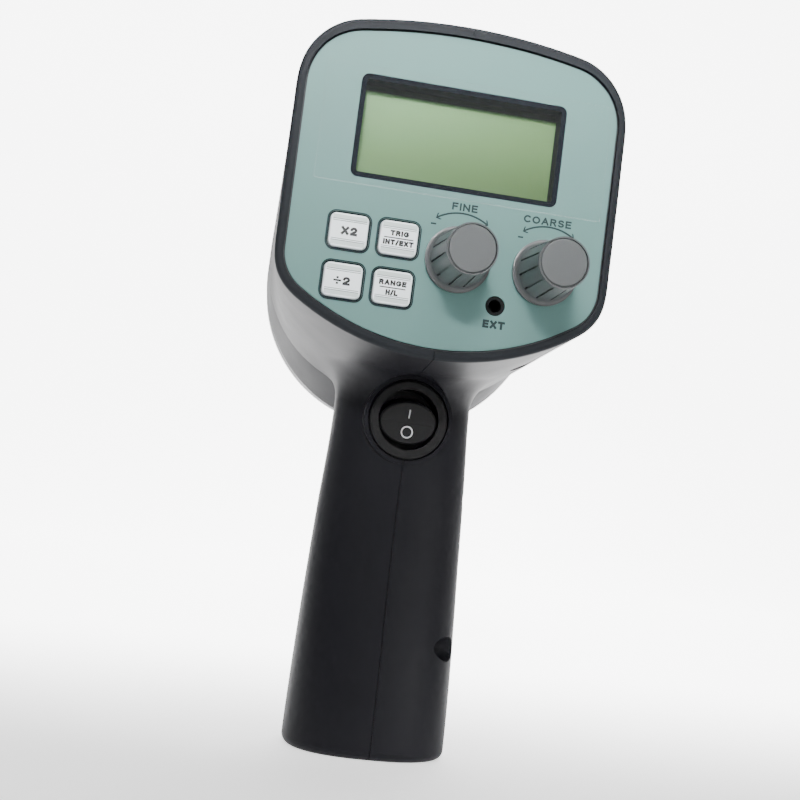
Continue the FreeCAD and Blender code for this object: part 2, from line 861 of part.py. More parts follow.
def make_keys():
    """Four key caps that slide in the panel, and the tact switches that they press."""
    stem_end = board_y - tact_height - tact_plunger - key_travel - key_rest_gap
    flange_back = plate_back_y + key_flange_thickness
    switches = []
    for name, (x, z) in key_places.items():
        front = panel_y - key_proud
        cap = rounded_block(key_width, key_height, key_corner, x, z, front, plate_back_y)
        cap = cap.makeFillet(key_edge_radius, edges_at(cap, "Y", front))
        flange = key_flange_block(x, z, 0, plate_back_y, flange_back)
        stem = rod_y(key_stem_radius, x, z, flange_back, stem_end)
        save(name, joined([cap, flange, stem]))
        half = tact_size / 2
        body = block(x - half, x + half, board_y - tact_height, board_y, z - half, z + half)
        plunger_y = board_y - tact_height - tact_plunger
        plunger = rod_y(tact_plunger_radius, x, z, plunger_y, board_y - tact_height)
        switches.append(joined([body, plunger]))
    save("tact_switches", Part.makeCompound(switches))


def knob_profile(base_y, top_y):
    """The knob's outline as (radius, y) points, from the centre of its base round to its top."""
    edge_y = base_y - knob_skirt_edge
    waist_y = edge_y - knob_flare
    steps = 6
    flare = []
    for k in range(steps + 1):
        turn = math.pi / 2 * k / steps
        radius = knob_base_radius + (knob_skirt_radius - knob_base_radius) * (1 - math.sin(turn))
        flare.append((radius, waist_y + knob_flare * math.cos(turn)))
    return [(0, base_y), (knob_skirt_radius, base_y)] + flare + [(knob_top_radius, top_y), (0, top_y)]


def make_knobs():
    """Two knobs on potentiometers: body, nut and washer stay, shaft, knob and cap turn."""
    base_y = panel_y - knob_clearance
    top_y = panel_y - knob_height
    bushing_tip = plate_back_y - bushing_length
    cap_y = top_y + knob_cap_thickness
    tip_y = cap_y + shaft_tip_gap
    washers = []
    nuts = []
    for name, (x, z) in knob_places.items():
        knob = turned(knob_profile(base_y, top_y), x, z)
        knob = knob.cut(rod_y(nut_recess_radius, x, z, base_y - nut_recess_depth, base_y + cut_over))
        knob = knob.cut(rod_y(shaft_radius + shaft_clearance, x, z, tip_y - shaft_tip_gap, base_y))
        seat = knob_cap_radius + knob_cap_gap
        knob = knob.cut(rod_y(seat, x, z, top_y - cut_over, cap_y))
        flutes = []
        for k in range(knob_flutes):
            inner = knob_top_radius - knob_flute_depth
            flute = block(x + inner, x + knob_skirt_radius + cut_over, top_y + knob_flute_margin,
                          base_y - knob_skirt_edge - knob_flute_margin,
                          z - knob_flute_width / 2, z + knob_flute_width / 2)
            lean = math.degrees(math.atan2(knob_base_radius - knob_top_radius, knob_height))
            flute.rotate(V(x + inner, top_y + knob_flute_margin, z), AXIS_Z, -lean)
            flute.rotate(V(x, 0, z), AXIS_Y, 360 * (k + 0.5) / knob_flutes)
            flutes.append(flute)
        save(name + "_knob", knob.cut(Part.makeCompound(flutes)))
        cap = rod_y(knob_cap_radius, x, z, top_y, cap_y)
        save(name + "_cap", cap.makeFillet(knob_cap_edge, edges_at(cap, "Y", top_y)))
        save(name + "_shaft", rod_y(shaft_radius, x, z, tip_y, plate_back_y + shaft_embed))
        pot = rod_y(pot_radius, x, z, plate_back_y, board_y)
        pot = joined([pot, rod_y(bushing_radius, x, z, bushing_tip, plate_back_y)])
        bore = rod_y(shaft_radius + shaft_clearance, x, z, bushing_tip - cut_over,
                     plate_back_y + shaft_embed + shaft_tip_gap)
        save(name + "_pot", pot.cut(bore))
        hole = bushing_radius + bushing_clearance
        washer_y = panel_y - washer_thickness
        washer = rod_y(washer_radius, x, z, washer_y, panel_y)
        washers.append(washer.cut(rod_y(hole, x, z, washer_y, panel_y)))
        nuts.append(hex_nut(x, z, washer_y - nut_thickness, washer_y, hole))
    save("pot_washers", Part.makeCompound(washers))
    save("pot_nuts", Part.makeCompound(nuts))


def hex_nut(x, z, y0, y1, hole):
    """A hexagon nut on a line along Y."""
    corner = nut_across_flats / math.sqrt(3)
    points = []
    for k in range(7):
        turn = math.pi / 3 * k
        points.append(V(x + corner * math.cos(turn), y0, z + corner * math.sin(turn)))
    solid = Part.Face(Part.makePolygon(points)).extrude(V(0, y1 - y0, 0))
    return solid.cut(rod_y(hole, x, z, y0, y1))


def make_jack():
    """The external signal jack: a body behind the plate, and a nose in the panel's hole."""
    half = jack_size / 2
    body = block(jack_x - half, jack_x + half, plate_back_y, board_y, jack_z - half, jack_z + half)
    nose_y = panel_y + jack_recess
    nose = rod_y(jack_nose_radius, jack_x, jack_z, nose_y, plate_back_y)
    bore = rod_y(jack_bore_radius, jack_x, jack_z, nose_y, nose_y + jack_bore_depth)
    save("ext_jack", joined([body, nose]).cut(bore))


def make_switch():
    """The round rocker switch: housing, rocker and terminals."""
    z = switch_height
    face_y = pocket_floor_y - switch_bezel_thickness
    back_y = pocket_floor_y + switch_body_depth
    pivot_y = face_y + rocker_pivot_depth
    bezel = rod_y(switch_bezel_radius, 0, z, face_y, pocket_floor_y)
    bezel = bezel.makeFillet(switch_bezel_edge, edges_at(bezel, "Y", face_y))
    body = rod_y(switch_body_radius, 0, z, pocket_floor_y, back_y)
    housing = joined([bezel, body])
    housing = housing.cut(rod_y(switch_cavity_radius, 0, z, face_y - cut_over, face_y + switch_cavity_depth))
    pin_hole = rod_x(trunnion_radius + trunnion_clearance, pivot_y, z, -reach, reach)
    save("switch_housing", housing.cut(pin_hole))

    oval = squircle(rocker_half_width, rocker_half_height, 2, rocker_points)
    face = Part.Face(smooth_loop([V(a, rocker_back, b) for a, b in oval]))
    prism = face.extrude(V(0, -rocker_rise - 2 * rocker_end_rise - rocker_back, 0))
    end = rocker_half_height + rocker_end_rise
    top = -rocker_rise - rocker_end_rise * end / rocker_half_height
    side = [
        V(-end - end, rocker_back, -end),
        V(-end - end, top, -end),
        V(-end - end, -rocker_rise, 0),
        V(-end - end, top, end),
        V(-end - end, rocker_back, end),
    ]
    dish = Part.Face(Part.makePolygon(side + side[:1])).extrude(V(4 * end, 0, 0))
    button = prism.common(dish)
    rounded = [e for e in button.Edges if e.BoundBox.YMax < -rocker_rise / 2 and not is_straight(e)]
    button = button.makeChamfer(rocker_edge, rounded)
    pin_end = switch_body_radius - trunnion_end_gap
    button = joined([button, rod_x(trunnion_radius, 0, 0, -pin_end, pin_end)])
    button.rotate(V(0, 0, 0), AXIS_X, rocker_tilt_share)
    button.translate(V(0, pivot_y, z))
    save("rocker", button)

    blades = []
    for step in (-1, 0, 1):
        low = z + step * terminal_pitch - terminal_thickness / 2
        blades.append(block(-terminal_width / 2, terminal_width / 2, back_y, back_y + terminal_length,
                            low, low + terminal_thickness))
    save("switch_terminals", Part.makeCompound(blades))


def is_straight(edge):
    """Whether an edge is a straight line."""
    return edge.Curve.TypeId == "Part::GeomLine"


def flare(inset, y0, y1):
    """The rear of the hood, from the casing's outline at y0 to the round at y1, drawn in by inset."""
    radius = hood_rear_radius + hood_step - inset
    width_share = (front_half_width - inset) / front_half_width
    height_share = (front_half_height - inset) / front_half_height
    centre_z = lamp_z + front_rise
    rear = [V(x * width_share, y0, centre_z + (z - centre_z) * height_share) for x, z in front_outline()]
    front = [V(x, y1, lamp_z + z) for x, z in squircle(radius, radius, 2, outline_points)]
    return Part.makeLoft([smooth_loop(rear), smooth_loop(front)], True, False)


def make_hood():
    """The lamp hood: round shell, flared rear, spigot and the flange that the halves clamp."""
    shoulder_y = hood_front_y - lens_stack_depth
    flare_y = joint_y + hood_flare
    rear_inner = hood_rear_radius - wall
    front_inner = hood_front_radius - wall
    spigot_y = joint_y - wall - spigot_gap
    flange_y = spigot_y - flange_thickness
    barrel = turned([
        (0, flare_y),
        (hood_rear_radius, flare_y),
        (hood_front_radius, hood_front_y),
        (0, hood_front_y),
    ], 0, lamp_z)
    barrel = barrel.makeFillet(hood_front_edge, edges_at(barrel, "Y", hood_front_y))
    bore = turned([
        (0, flare_y - fit_gap),
        (rear_inner - 2 * hood_step, flare_y - fit_gap),
        (front_inner - 2 * hood_step, shoulder_y - shoulder_thickness),
        (shoulder_bore, shoulder_y - shoulder_thickness),
        (shoulder_bore, shoulder_y),
        (lens_bore, shoulder_y),
        (lens_bore, hood_front_y + cut_over),
        (0, hood_front_y + cut_over),
    ], 0, lamp_z)
    spigot = turned([
        (spigot_bore, flange_y),
        (flange_radius, flange_y),
        (flange_radius, spigot_y),
        (spigot_radius, spigot_y),
        (spigot_radius, joint_y + wall),
        (spigot_bore, joint_y + wall),
    ], 0, lamp_z)
    shell = barrel.fuse(flare(0, joint_y, flare_y)).cut([
        bore,
        flare(wall, joint_y + wall, flare_y),
        rod_y(spigot_bore, 0, lamp_z, joint_y - cut_over, joint_y + wall + cut_over),
    ])
    hood = joined([shell, spigot])
    board_y0 = flange_y - board_thickness
    screws = []
    board_holes = []
    for k in range(3):
        turn = 2 * math.pi * k / 3 + math.pi / 2
        x = lamp_screw_circle * math.cos(turn)
        z = lamp_z + lamp_screw_circle * math.sin(turn)
        head = rod_y(lamp_screw_head_radius, x, z, board_y0 - lamp_screw_head, board_y0)
        shank = rod_y(lamp_screw_radius, x, z, board_y0, board_y0 + lamp_screw_length)
        screws.append(head.fuse(shank).removeSplitter())
        hole = rod_y(lamp_screw_radius + fit_gap, x, z, board_y0 - cut_over,
                     board_y0 + lamp_screw_length + fit_gap)
        board_holes.append(hole)
    holes = Part.makeCompound(board_holes)
    save("lamp_hood", hood.cut(holes))
    save("lamp_board_screws", Part.makeCompound(screws))
    make_lens(shoulder_y)
    make_tube(flange_y, shoulder_y, board_holes)


def make_lens(shoulder_y):
    """Gasket, clear lens and retaining ring, stacked in the front of the hood."""
    y0 = shoulder_y + reflector_flange
    y1 = y0 + gasket_thickness
    y2 = y1 + lens_thickness
    y3 = y2 + ring_thickness
    gasket = rod_y(lens_radius, 0, lamp_z, y0, y1)
    save("lens_gasket", gasket.cut(rod_y(lens_radius - gasket_width, 0, lamp_z, y0, y1)))
    save("lens", rod_y(lens_radius, 0, lamp_z, y1, y2))
    ring = rod_y(lens_radius, 0, lamp_z, y2, y3)
    ring = ring.cut(rod_y(lens_radius - ring_width, 0, lamp_z, y2, y3))
    inner_edge = [e for e in edges_at(ring, "Y", y3) if e.BoundBox.XMax < lens_radius - fit_gap]
    save("lens_ring", ring.makeChamfer(ring_width / 2, inner_edge))


def make_tube(flange_y, shoulder_y, board_holes):
    """Reflector, flash tube, electrodes, trigger wire, tube holder and the board that carries them."""
    board_y0 = flange_y - board_thickness
    shoulder_r = tube_holder_radius
    legs = (-tube_half_spacing, tube_half_spacing)
    board = rod_y(lamp_board_radius, 0, lamp_z, board_y0, flange_y)
    pin_holes = [rod_y(electrode_pin_radius + fit_gap, x, lamp_z, board_y0, flange_y) for x in legs]
    save("lamp_board", board.cut(Part.makeCompound(pin_holes + board_holes)))

    seat_y = flange_y + tube_holder_height
    collar_y1 = seat_y + tube_collar_height
    holder = joined([
        rod_y(shoulder_r, 0, lamp_z, flange_y, seat_y),
        rod_y(tube_collar_radius, 0, lamp_z, seat_y, collar_y1),
    ])
    tube_start = flange_y + tube_holder_height / 2
    sockets = []
    for x in legs:
        sockets.append(rod_y(tube_radius + tube_hole_gap, x, lamp_z, tube_start, collar_y1 + cut_over))
        sockets.append(rod_y(electrode_pin_radius + fit_gap, x, lamp_z, flange_y, tube_start))
    save("tube_holder", holder.cut(Part.makeCompound(sockets)))

    apex = shoulder_y - reflector_radius**2 / (4 * reflector_focus)
    steps = 14
    inner = []
    outer = []
    for k in range(steps + 1):
        radius = reflector_hole + (reflector_radius - reflector_hole) * k / steps
        inner.append((radius, apex + radius**2 / (4 * reflector_focus)))
        slope = radius / (2 * reflector_focus)
        length = math.hypot(1, slope)
        outer.append((radius + reflector_wall * slope / length,
                      inner[-1][1] - reflector_wall / length))
    brim = [
        (outer[-1][0], shoulder_y),
        (lens_radius, shoulder_y),
        (lens_radius, shoulder_y + reflector_flange),
        (reflector_radius, shoulder_y + reflector_flange),
    ]
    lift = seat_y + fit_gap - outer[0][1]

    def seated(points):
        """The bowl's points, lowered onto the tube holder's seat at the hole and level at the brim."""
        drawn = []
        for r, y in points:
            share = (reflector_radius - r) / (reflector_radius - reflector_hole)
            drawn.append(V(r, y + lift * share, lamp_z))
        return drawn

    rear_side = seated([(r, y) for r, y in outer if y < shoulder_y])
    bright_side = seated(reversed(inner))
    corners = [rear_side[-1]] + [V(r, y, lamp_z) for r, y in brim] + [bright_side[0]]
    edges = [smooth_curve(rear_side), smooth_curve(bright_side)]
    edges += Part.makePolygon(corners).Edges
    edges += Part.makePolygon([bright_side[-1], rear_side[0]]).Edges
    outline = Part.Wire(Part.sortEdges(edges)[0])
    save("reflector", Part.Face(outline).revolve(V(0, 0, lamp_z), AXIS_Y, 360))

    bend_y = tube_start + tube_straight
    save("flash_tube", u_tube(tube_radius, tube_half_spacing, tube_start, bend_y).cut(
        u_tube(tube_radius - tube_wall, tube_half_spacing, tube_start - cut_over, bend_y)))
    bore = tube_radius - tube_wall
    electrodes = []
    for x in legs:
        plug = rod_y(bore, x, lamp_z, tube_start, tube_start + electrode_length)
        pin = rod_y(electrode_pin_radius, x, lamp_z, tube_start - electrode_pin_length, tube_start)
        electrodes.append(plug.fuse(pin).removeSplitter())
    save("tube_electrodes", Part.makeCompound(electrodes))
    offset = tube_half_spacing + tube_radius + trigger_wire_gap + trigger_wire_radius
    save("trigger_wire", u_tube(trigger_wire_radius, offset, collar_y1, bend_y))


def u_tube(radius, half_spacing, y0, bend_y):
    """A round bar bent into a U: two legs along Y, joined by a half turn at bend_y."""
    legs = [rod_y(radius, x, lamp_z, y0, bend_y) for x in (-half_spacing, half_spacing)]
    ring = Part.makeTorus(half_spacing, radius, V(0, bend_y, lamp_z), AXIS_Z)
    half = ring.common(block(-reach, reach, bend_y, reach, 0, reach))
    return joined(legs + [half])


def make_transformer():
    """The power transformer, standing on the handle's shelf."""
    low = shelf_height + shelf_thickness
    high = low + core_height
    half_w = core_width / 2
    half_d = core_depth / 2
    y = handle_y + transformer_shift
    core = block(-half_w, half_w, y - half_d, y + half_d, low, high)
    window_low = low + (core_height - core_window_height) / 2
    window_high = window_low + core_window_height
    inner = core_leg_width / 2
    outer = inner + core_window_width
    windows = []
    for side in (-1, 1):
        x0 = min(side * inner, side * outer)
        x1 = max(side * inner, side * outer)
        windows.append(block(x0, x1, y - reach, y + reach, window_low, window_high))
    core = core.cut(Part.makeCompound(windows))
    winding_half_d = half_d + winding_gap
    bobbin_half_w = outer - winding_gap
    coil_half_d = half_d + winding_bulge
    coil = block(-bobbin_half_w, bobbin_half_w, y - coil_half_d, y + coil_half_d,
                 window_low + winding_gap, window_high - winding_gap)
    along_z = [e for e in coil.Edges if abs(e.tangentAt(e.FirstParameter).z) > 0.9]
    coil = coil.makeFillet(winding_corner, along_z)
    leg = block(-inner - winding_gap, inner + winding_gap, y - winding_half_d, y + winding_half_d, low, high)
    save("transformer_core", core)
    save("transformer_winding", coil.cut(leg))


def make_inlet():
    """The mains inlet in the foot, and its two pins with solder tabs."""
    half_w = inlet_width / 2
    half_d = inlet_depth / 2
    top = wall + inlet_height
    body = block(-half_w, half_w, handle_y - half_d, handle_y + half_d, wall, top)
    nose = inlet_nose(0, nose_recess, wall)
    socket_top = nose_recess + socket_depth
    lobes = [rod_z(socket_lobe_radius, side * socket_lobe_offset, handle_y, 0, socket_top)
             for side in (-1, 1)]
    bridge = block(-socket_lobe_offset, socket_lobe_offset, handle_y - socket_lobe_radius,
                   handle_y + socket_lobe_radius, 0, socket_top)
    holes = []
    pins = []
    for side in (-1, 1):
        x = side * pin_offset
        holes.append(rod_z(pin_radius + fit_gap / 2, x, handle_y, socket_top, top))
        pin = rod_z(pin_radius, x, handle_y, nose_recess + pin_recess, top)
        pin = pin.makeFillet(pin_radius / 2, edges_at(pin, "Z", nose_recess + pin_recess))
        tab = block(x - inlet_tab_width / 2, x + inlet_tab_width / 2,
                    handle_y - inlet_tab_thickness / 2, handle_y + inlet_tab_thickness / 2,
                    top, top + inlet_tab_length)
        pins.append(joined([pin, tab]))
    inlet = joined([body, nose]).cut(joined(lobes + [bridge])).cut(Part.makeCompound(holes))
    save("mains_inlet", inlet)
    save("inlet_pins", Part.makeCompound(pins))


os.makedirs("parts", exist_ok=True)
make_casing()
make_fasteners()
make_panel()
make_display()
make_boards()
make_keys()
make_knobs()
make_jack()
make_switch()
make_hood()
make_transformer()
make_inlet()
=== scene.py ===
# %% [markdown]
# # A handheld xenon stroboscope
# This script dresses the CAD model of the stroboscope: a gun-shaped casing with a control panel on
# its back, a round lamp hood on its front, and a handle with a rocker switch and a mains inlet.
# Blender's lengths are in metres, and the printed marks' sizes are given in millimetres. Z is up, the
# panel faces -Y and the lamp shines along +Y.
# %% Start
import bpy
import bmesh
import math
from mathutils import Matrix, Vector


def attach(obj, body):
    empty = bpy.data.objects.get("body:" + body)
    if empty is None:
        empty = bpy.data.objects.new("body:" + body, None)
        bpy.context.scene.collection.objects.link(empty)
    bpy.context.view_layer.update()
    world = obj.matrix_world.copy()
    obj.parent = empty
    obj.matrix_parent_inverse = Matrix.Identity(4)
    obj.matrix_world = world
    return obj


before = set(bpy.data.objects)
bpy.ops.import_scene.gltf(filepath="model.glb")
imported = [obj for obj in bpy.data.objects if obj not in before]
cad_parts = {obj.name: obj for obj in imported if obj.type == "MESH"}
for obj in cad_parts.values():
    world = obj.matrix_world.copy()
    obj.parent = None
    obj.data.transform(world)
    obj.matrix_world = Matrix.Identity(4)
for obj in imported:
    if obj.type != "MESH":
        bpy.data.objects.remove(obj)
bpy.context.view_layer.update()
MM = 0.001
PANEL_Y = -0.0394
DISPLAY_Z = 0.1776

# %% [markdown]
# ## The camera
# The photograph was matched against the display's four corners, the four keys, the two knobs and the
# jack. That gives the camera's place, the three angles it is turned by, and its focal length.
# %% Camera
CAMERA_PLACE = Vector((-57.25, -376.8, 83.4)) * MM
AZIMUTH = -0.1458
ELEVATION = -0.0595
ROLL = 0.1259
LENS_MM = 56.12
SENSOR_MM = 36.0

back = Vector((math.sin(AZIMUTH) * math.cos(ELEVATION), -math.cos(AZIMUTH) * math.cos(ELEVATION),
               math.sin(ELEVATION)))
level_right = (-back).cross(Vector((0, 0, 1))).normalized()
level_up = level_right.cross(-back)
right = math.cos(ROLL) * level_right + math.sin(ROLL) * level_up
up = -math.sin(ROLL) * level_right + math.cos(ROLL) * level_up
camera_data = bpy.data.cameras.new("camera")
camera_data.lens = LENS_MM
camera_data.sensor_width = SENSOR_MM
camera_data.clip_start = 0.01
camera_data.clip_end = 30
camera = bpy.data.objects.new("camera", camera_data)
bpy.context.scene.collection.objects.link(camera)
turn = Matrix((right, up, back)).transposed().to_4x4()
camera.matrix_world = Matrix.Translation(CAMERA_PLACE) @ turn
bpy.context.scene.camera = camera
to_display = CAMERA_PLACE - Vector((0, PANEL_Y, DISPLAY_Z))
print("camera distance to the display in mm:", round(to_display.length / MM))

# %% [markdown]
# ## The studio's ground
# The photograph has a plain white ground, which leaves a pale sheen on the flanks that face it. A
# flat floor alone would end in a horizon, and a closed room would light the black casing from all
# sides. So the floor curves up into a high backdrop behind the lamp and into a low edge elsewhere.
# %% Ground


def link(obj):
    """Puts a new object in the scene."""
    bpy.context.scene.collection.objects.link(obj)
    return obj


FLOOR_HALF = 6.0
FLOOR_FRONT = -1.0
EDGE_HEIGHT = 0.9
CURVE_START = 0.7
CURVE_RADIUS = 0.6
BACKDROP_TOP = 3.0
CURVE_STEPS = 24


def upward_curve(start, top, sense):
    """Places and heights where the ground curves up from flat to upright, then on to its top."""
    curve = []
    for i in range(CURVE_STEPS + 1):
        turn = math.pi / 2 * i / CURVE_STEPS
        curve.append((start + sense * CURVE_RADIUS * math.sin(turn), CURVE_RADIUS * (1 - math.cos(turn))))
    return curve + [(start + sense * CURVE_RADIUS, top)]


def cove():
    """The studio's ground: a flat floor that curves up into a backdrop, and into a low edge elsewhere."""
    low_edge = upward_curve(-FLOOR_HALF, EDGE_HEIGHT, -1)[::-1]
    rows = low_edge + [(FLOOR_FRONT, 0), (0, 0)] + upward_curve(CURVE_START, BACKDROP_TOP, 1)
    columns = low_edge + [(-x, z) for x, z in low_edge[::-1]]
    points = [(x, y, max(row_z, column_z)) for y, row_z in rows for x, column_z in columns]
    width = len(columns)
    faces = []
    for i in range(len(rows) - 1):
        for j in range(width - 1):
            corner = i * width + j
            faces.append((corner, corner + 1, corner + width + 1, corner + width))
    mesh = bpy.data.meshes.new("cove")
    mesh.from_pydata(points, [], faces)
    mesh.polygons.foreach_set("use_smooth", [True] * len(faces))
    ground = link(bpy.data.objects.new("cove", mesh))
    return ground


ground = cove()
print("ground: half width in metres", FLOOR_HALF + CURVE_RADIUS, "and", len(ground.data.polygons), "faces")

# %% [markdown]
# ## The lights
# The panel is bright at its top and darker lower down, and the knobs throw short shadows downwards.
# A large lamp close by would light the whole object evenly. So the key light is a small one behind
# the camera at the upper left, with a narrow spread, aimed above the panel, so that it fades down the
# panel and hardly reaches the handle. The other lights are weak: they open the shadows, draw the
# edge of the handle and light the lamp's side for the views from there.
# %% Lights


def area_light(name, place, aim, size, power, spread):
    """A soft light at a place, turned towards an aim, with its width and height and its spread in degrees."""
    data = bpy.data.lights.new(name, "AREA")
    data.shape = "RECTANGLE"
    data.size, data.size_y = size
    data.energy = power
    data.spread = math.radians(spread)
    lamp = link(bpy.data.objects.new(name, data))
    lamp.location = place
    lamp.rotation_euler = (Vector(aim) - Vector(place)).to_track_quat("-Z", "Y").to_euler()


MIDDLE = (0, 0, 0.12)
PANEL_MIDDLE = (0, -0.04, 0.17)
ABOVE_PANEL = (0, -0.04, 0.335)
BELOW_FOOT = (0.02, 0, -0.03)
NARROW = 20
WIDE = 180
# Each light has a place, an aim, a width and height, a power in watts and a spread
LIGHTS = {
    "key": ((-0.16, -0.85, 0.66), ABOVE_PANEL, (0.26, 0.26), 1.13, NARROW),
    "top": ((0.0, -0.4, 1.0), PANEL_MIDDLE, (0.3, 0.3), 6, WIDE),
    "fill": ((0.3, -1.2, 0.75), PANEL_MIDDLE, (0.8, 0.45), 1.7, WIDE),
    "glint": ((-0.55, -0.75, 0.75), PANEL_MIDDLE, (0.18, 0.18), 1.8, WIDE),
    "handle_side": ((0.55, -0.75, 0.15), BELOW_FOOT, (0.2, 0.2), 0.1, NARROW),
    "lamp_side": ((0.3, 0.6, 0.8), MIDDLE, (0.5, 0.5), 5, WIDE),
}
for name, (place, aim, size, power, spread) in LIGHTS.items():
    area_light(name, place, aim, size, power, spread)
print("lights in watts:", {name: row[3] for name, row in LIGHTS.items()})

# %% [markdown]
# A little light comes from all around. It keeps the black plastic from going fully dark where no lamp
# and no bright ground faces it.
# %% Light from all around
AROUND_COLOUR = (0.93, 0.97, 1, 1)
AROUND_STRENGTH = 0.08
world = bpy.data.worlds.new("world")
bpy.context.scene.world = world
world.use_nodes = True
world_shader = world.node_tree.nodes["Background"]
world_shader.inputs["Color"].default_value = AROUND_COLOUR
world_shader.inputs["Strength"].default_value = AROUND_STRENGTH
print("light from all around:", AROUND_STRENGTH)

# %% [markdown]
# ## One recipe for all surfaces
# A moulded or painted surface is never one flat colour. Pictures of real plastic could be laid on, but
# they stretch and show seams, so each material is drawn by noise instead: a wide noise varies the
# colour and the roughness a little, and a fine one raises the grain.
# %% Surface recipe
GRAIN_DEPTH = 0.2 * MM
LEAST_ROUGHNESS = 0.02
ROUGHNESS_VARIES = 0.15


def surface(name, colour, rough, metal=0.0, grain=1800, bump=0.05, vary=0.06, blotch=60, alpha=1.0,
            shine=0.5, stretch=(1, 1, 1)):
    """A material: colour and roughness vary with a noise, and a finer noise raises the surface."""
    material = bpy.data.materials.new(name)
    material.use_nodes = True
    nodes = material.node_tree.nodes
    links = material.node_tree.links
    shader = nodes["Principled BSDF"]
    shader.inputs["Metallic"].default_value = metal
    shader.inputs["Specular IOR Level"].default_value = shine
    shader.inputs["Alpha"].default_value = alpha
    coords = nodes.new("ShaderNodeTexCoord")
    mapping = nodes.new("ShaderNodeMapping")
    mapping.inputs["Scale"].default_value = stretch
    links.new(coords.outputs["Object"], mapping.inputs["Vector"])
    wide = nodes.new("ShaderNodeTexNoise")
    wide.inputs["Scale"].default_value = blotch
    wide.inputs["Detail"].default_value = 4
    links.new(mapping.outputs["Vector"], wide.inputs["Vector"])
    tint = nodes.new("ShaderNodeMix")
    tint.data_type = "RGBA"
    tint.inputs["A"].default_value = (*[c * (1 - vary) for c in colour], 1)
    tint.inputs["B"].default_value = (*[min(1, c * (1 + vary)) for c in colour], 1)
    links.new(wide.outputs["Fac"], tint.inputs["Factor"])
    links.new(tint.outputs["Result"], shader.inputs["Base Color"])
    fine = nodes.new("ShaderNodeTexNoise")
    fine.inputs["Scale"].default_value = grain
    fine.inputs["Detail"].default_value = 2
    links.new(mapping.outputs["Vector"], fine.inputs["Vector"])
    spread = nodes.new("ShaderNodeMapRange")
    spread.inputs["To Min"].default_value = max(LEAST_ROUGHNESS, rough * (1 - ROUGHNESS_VARIES))
    spread.inputs["To Max"].default_value = min(1, rough * (1 + ROUGHNESS_VARIES))
    links.new(wide.outputs["Fac"], spread.inputs["Value"])
    links.new(spread.outputs["Result"], shader.inputs["Roughness"])
    relief = nodes.new("ShaderNodeBump")
    relief.inputs["Strength"].default_value = bump
    relief.inputs["Distance"].default_value = GRAIN_DEPTH
    links.new(fine.outputs["Fac"], relief.inputs["Height"])
    links.new(relief.outputs["Normal"], shader.inputs["Normal"])
    return material


# %% [markdown]
# ## Black plastics
# The casing, hood, switch and display bezel are black mouldings of slightly different finish. A pure
# black would show no shape at all, so each has a faint colour, and a low shine that only shows where
# the bright ground is mirrored at a flat angle.
# %% Black plastics
CASING_BLACK = (0.005, 0.005, 0.0075)
casing_black = surface("casing_black", CASING_BLACK, 0.54, grain=2600, bump=0.08, vary=0.2, shine=0.14)
hood_black = surface("hood_black", CASING_BLACK, 0.54, grain=2600, bump=0.08, vary=0.2, shine=0.14)
bezel_black = surface("bezel_black", (0.004, 0.006, 0.01), 0.6, grain=3000, bump=0.05, shine=0.06)
switch_black = surface("switch_black", (0.006, 0.006, 0.0065), 0.5, grain=3500, bump=0.08, vary=0.2,
                       shine=0.2)
jack_black = surface("jack_black", (0.004, 0.005, 0.005), 0.6, grain=2500, bump=0.1, shine=0.15)
plate_black = surface("plate_black", (0.02, 0.022, 0.024), 0.55)
component_black = surface("component_black", (0.02, 0.02, 0.022), 0.45, grain=2500, bump=0.1, vary=0.2)
rubber = surface("rubber", (0.02, 0.02, 0.02), 0.75, grain=2500, bump=0.2)
print("casing black:", CASING_BLACK)

# %% [markdown]
# ## Panel, display, keys and knobs
# These are what the eye goes to: a blue-green printed film, a grey-green display behind a clear
# window, white keys and mid-grey knobs. The colours were set by rendering and comparing the same
# spots, because the light and the view transform both shift them.
# %% Panel and controls
PANEL_BLUE_GREEN = (0.11, 0.213, 0.2)
panel_print = surface("panel_print", PANEL_BLUE_GREEN, 0.5, grain=3500, bump=0.05, vary=0.035, shine=0.25)
display_green = surface("display_green", (0.165, 0.32, 0.14), 0.4, grain=5000, bump=0.03, vary=0.03,
                        blotch=30, shine=0.2)
clear_pane = surface("clear_pane", (0.02, 0.025, 0.02), 0.06, alpha=0.03, bump=0.0, vary=0.01)
film_clear = surface("film_clear", (0.9, 0.95, 0.95), 0.16, alpha=0.007, grain=400, bump=0.25, vary=0.01)
# The pale strip along the film's cut edges is a painted highlight.
painted_film_glint = surface("painted_film_glint", (0.75, 0.85, 0.84), 0.2, vary=0.1, blotch=200)
key_white = surface("key_white", (0.86, 0.91, 0.93), 0.34, grain=3000, bump=0.05, vary=0.02)
knob_grey = surface("knob_grey", (0.064, 0.068, 0.07), 0.36, grain=2200, bump=0.12, vary=0.06)
cap_grey = surface("cap_grey", (0.075, 0.081, 0.083), 0.46, grain=2600, bump=0.06, vary=0.05)
# Dark ink for the printed legends and outlines, and also the painted shade down in the keys' gaps.
dark_ink_and_gap_shade = surface("dark_ink_and_gap_shade", (0.006, 0.018, 0.02), 0.5, vary=0.1, shine=0.3)
ink_black = surface("ink_black", (0.012, 0.012, 0.014), 0.45, vary=0.1)
ink_white = surface("ink_white", (0.72, 0.73, 0.74), 0.5, vary=0.04)
# The keys' pale bands and fine lines are painted shade of their top and bottom.
painted_band_shade = surface("painted_band_shade", (0.56, 0.63, 0.62), 0.45, vary=0.04)
painted_line_shade = surface("painted_line_shade", (0.15, 0.19, 0.19), 0.45, vary=0.04)
print("panel colour:", PANEL_BLUE_GREEN)

